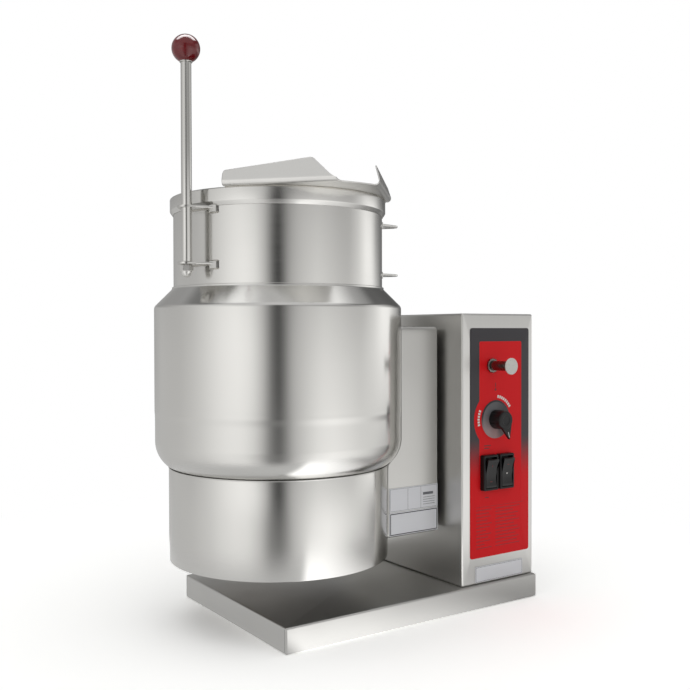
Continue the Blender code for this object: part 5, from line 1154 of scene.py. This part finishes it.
def make_world():
    """A white studio as levels by azimuth from the camera, at four heights, and a ceiling whose
    level changes with height on either side. The camera itself sees plain white."""
    world = bpy.data.worlds.new("studio")
    bpy.context.scene.world = world
    world.use_nodes = True
    tree = world.node_tree
    tree.nodes.clear()
    split = add(tree, "SeparateXYZ", {0: add(tree, "TexCoord").outputs["Generated"]})
    east, north, height = split.outputs
    camera = CAM_AT - AXIS
    ahead = PI - math.atan2(camera[1], camera[0])
    azimuth = add(tree, "Math", {0: north, 1: east}, operation="ARCTAN2")
    turned = add(tree, "Math", {0: azimuth, 1: ahead}, operation="ADD")
    turns = add(tree, "Math", {0: turned, 1: 2 * PI}, operation="DIVIDE")
    around = add(tree, "Math", {0: turns}, operation="FRACT")
    brightest = 1.5
    level = None
    for levels, low, high in ((FLOOR_LEVEL, 0, 0), (EYE_LEVEL, -0.16, -0.03), (DRUM_LEVEL, 0.01, 0.09),
                              (ABOVE_LEVEL, 0.10, 0.20)):
        places = [((degrees + 180) / 360, value) for degrees, value in levels]
        ramp = add(tree, "ValToRGB", {0: around}, level_stops(places, brightest, (1, 0.996, 0.988)))
        if level:
            share = add(tree, "MapRange", {0: height, 1: low, 2: high})
            ramp = add(tree, "Mix", {0: share, 6: level, 7: ramp}, data_type="RGBA")
        level = ramp
    sides = [add(tree, "ValToRGB", {0: height}, level_stops(levels, brightest))
             for levels in (LEFT_SIDE, RIGHT_SIDE)]
    side = add(tree, "MapRange", {0: around, 1: 0.49, 2: 0.51})
    ceiling = add(tree, "Mix", {0: side, 6: sides[0], 7: sides[1]}, data_type="RGBA")
    beside = add(tree, "Math", {0: around, 1: 0.5}, operation="SUBTRACT")
    away = add(tree, "Math", {0: beside}, operation="ABSOLUTE")
    front = add(tree, "MapRange", {0: away, 1: 0.17, 2: 0.24, 3: 1.0, 4: 0.0})
    calm = (0.75 / brightest,) * 3 + (1,)
    ceiling = add(tree, "Mix", {0: front, 6: ceiling, 7: calm}, data_type="RGBA")
    upper = add(tree, "MapRange", {0: height, 1: 0.42, 2: 0.56})
    level = add(tree, "Mix", {0: upper, 6: level, 7: ceiling}, data_type="RGBA")
    studio = add(tree, "Background", {0: level, 1: brightest})
    white = add(tree, "Background", {0: (1, 1, 1, 1), 1: 1.0})
    camera_ray = add(tree, "LightPath").outputs["Is Camera Ray"]
    seen = add(tree, "MixShader", {0: camera_ray, 1: studio, 2: white})
    add(tree, "OutputWorld", {0: seen})


def make_lamp():
    """A small soft box over the ball and a little behind it, for the gloss along its top; it lights
    nothing else."""
    data = bpy.data.lights.new("ball_soft_box", "AREA")
    data.shape, data.size, data.size_y, data.energy = "RECTANGLE", 0.90, 0.28, 5.0
    made = bpy.data.objects.new("ball_soft_box", data)
    ball, height = middle_of("ball_knob"), math.radians(80)
    behind = (ball - CAM_AT) * (1, 1, 0)
    behind /= np.linalg.norm(behind)
    spot = ball + 0.5 * (math.cos(height) * behind + math.sin(height) * Z)
    aim = Vector(ball) - Vector(spot)
    made.location, made.rotation_euler = spot, aim.to_track_quat("-Z", "Y").to_euler()
    made.visible_camera = made.visible_diffuse = False
    bpy.context.scene.collection.objects.link(made)
    lit = bpy.data.collections.new("lit_by_ball_soft_box")
    lit.objects.link(bpy.data.objects["ball_grip"])
    made.light_linking.receiver_collection = lit


def make_floor():
    """Pale floor. The camera sees it a little brighter, so that only the shadow shows; in the steel
    it glows as painted light, bright by the kettle's left, dimmer to the right, and gives way to the
    studio further off."""
    half, brightest = 4.0, 2.5
    grid = np.array([[(-half, -half, 0), (half, -half, 0)], [(-half, half, 0), (half, half, 0)]], float)
    made = skin("floor", grid - (0, 0, 0.0002), around=False)
    look = surface("white_paper_floor", "F7F7F6", 0.9, 0.0, 60, 0.01, 0.02, 0.0, 0.0, Specular_IOR_Level=0.1)
    tree = look.node_tree
    paper, path = tree.nodes["Principled BSDF"], add(tree, "LightPath").outputs
    spot = add(tree, "TexCoord").outputs["Object"]
    none = add(tree, "Emission", {1: 0.0})
    dimmed = add(tree, "MixShader", {0: 0.85, 1: none, 2: paper})
    lit = add(tree, "AddShader", {0: paper, 1: dimmed})
    white = add(tree, "Emission", {0: (1, 1, 1, 1), 1: 1.0})
    across = add(tree, "MapRange", {0: add(tree, "SeparateXYZ", {0: spot}), 1: -0.5, 2: 0.5})
    # Painted light: the floor's glow in glossy rays, bright by the kettle's left and dim to the right.
    levels = ((0.0, 0.7), (0.325, 0.75), (0.355, 2.4), (0.45, 2.1), (0.58, 1.5), (0.75, 0.48), (1.0, 0.42))
    ramp = add(tree, "ValToRGB", {0: across}, level_stops(levels, brightest))
    near = add(tree, "Emission", {0: ramp, 1: brightest})
    away = add(tree, "VectorMath", {0: spot}, operation="LENGTH").outputs["Value"]
    far = add(tree, "MapRange", {0: away, 1: 0.40, 2: 0.60})
    open_floor = add(tree, "MapRange", {0: away, 1: 0.35, 2: 1.0}, interpolation_type="SMOOTHSTEP")
    seen = add(tree, "MixShader", {0: open_floor, 1: lit, 2: white})
    glowing = add(tree, "MixShader", {0: 0.75, 1: paper, 2: near})
    mirrored = add(tree, "MixShader", {0: far, 1: glowing, 2: add(tree, "BsdfTransparent")})
    unseen = add(tree, "MixShader", {0: path["Is Glossy Ray"], 1: paper, 2: mirrored})
    shown = add(tree, "MixShader", {0: path["Is Camera Ray"], 1: unseen, 2: seen})
    join(tree, shown, tree.nodes["Material Output"], "Surface")
    made.data.materials.append(look)


def make_camera():
    """The camera that was worked out from the photograph's edges and rims."""
    data = bpy.data.cameras.new("camera")
    data.sensor_width, data.lens = 36.0, 46.23
    made = bpy.data.objects.new("camera", data)
    made.location = CAM_AT.tolist()
    made.rotation_euler = (math.radians(90 - 0.876), math.radians(0.109), math.radians(-34.356))
    bpy.context.scene.collection.objects.link(made)
    bpy.context.scene.camera = made


def build():
    """Every piece, then the stage round them."""
    for make in (dress_nodes, make_bowl, make_jacket, make_band, make_skirt, make_lip, make_housing,
                 make_lever, make_pan, make_console, make_gland, make_overlay, make_dial, make_knob):
        make()
    for side in ("left", "right"):
        make_switch(side)
    for make in (make_button, make_plates, make_valve, make_gauge, make_world, make_lamp, make_floor,
                 make_camera):
        make()
    bpy.context.scene.view_settings.view_transform = "Standard"


build()
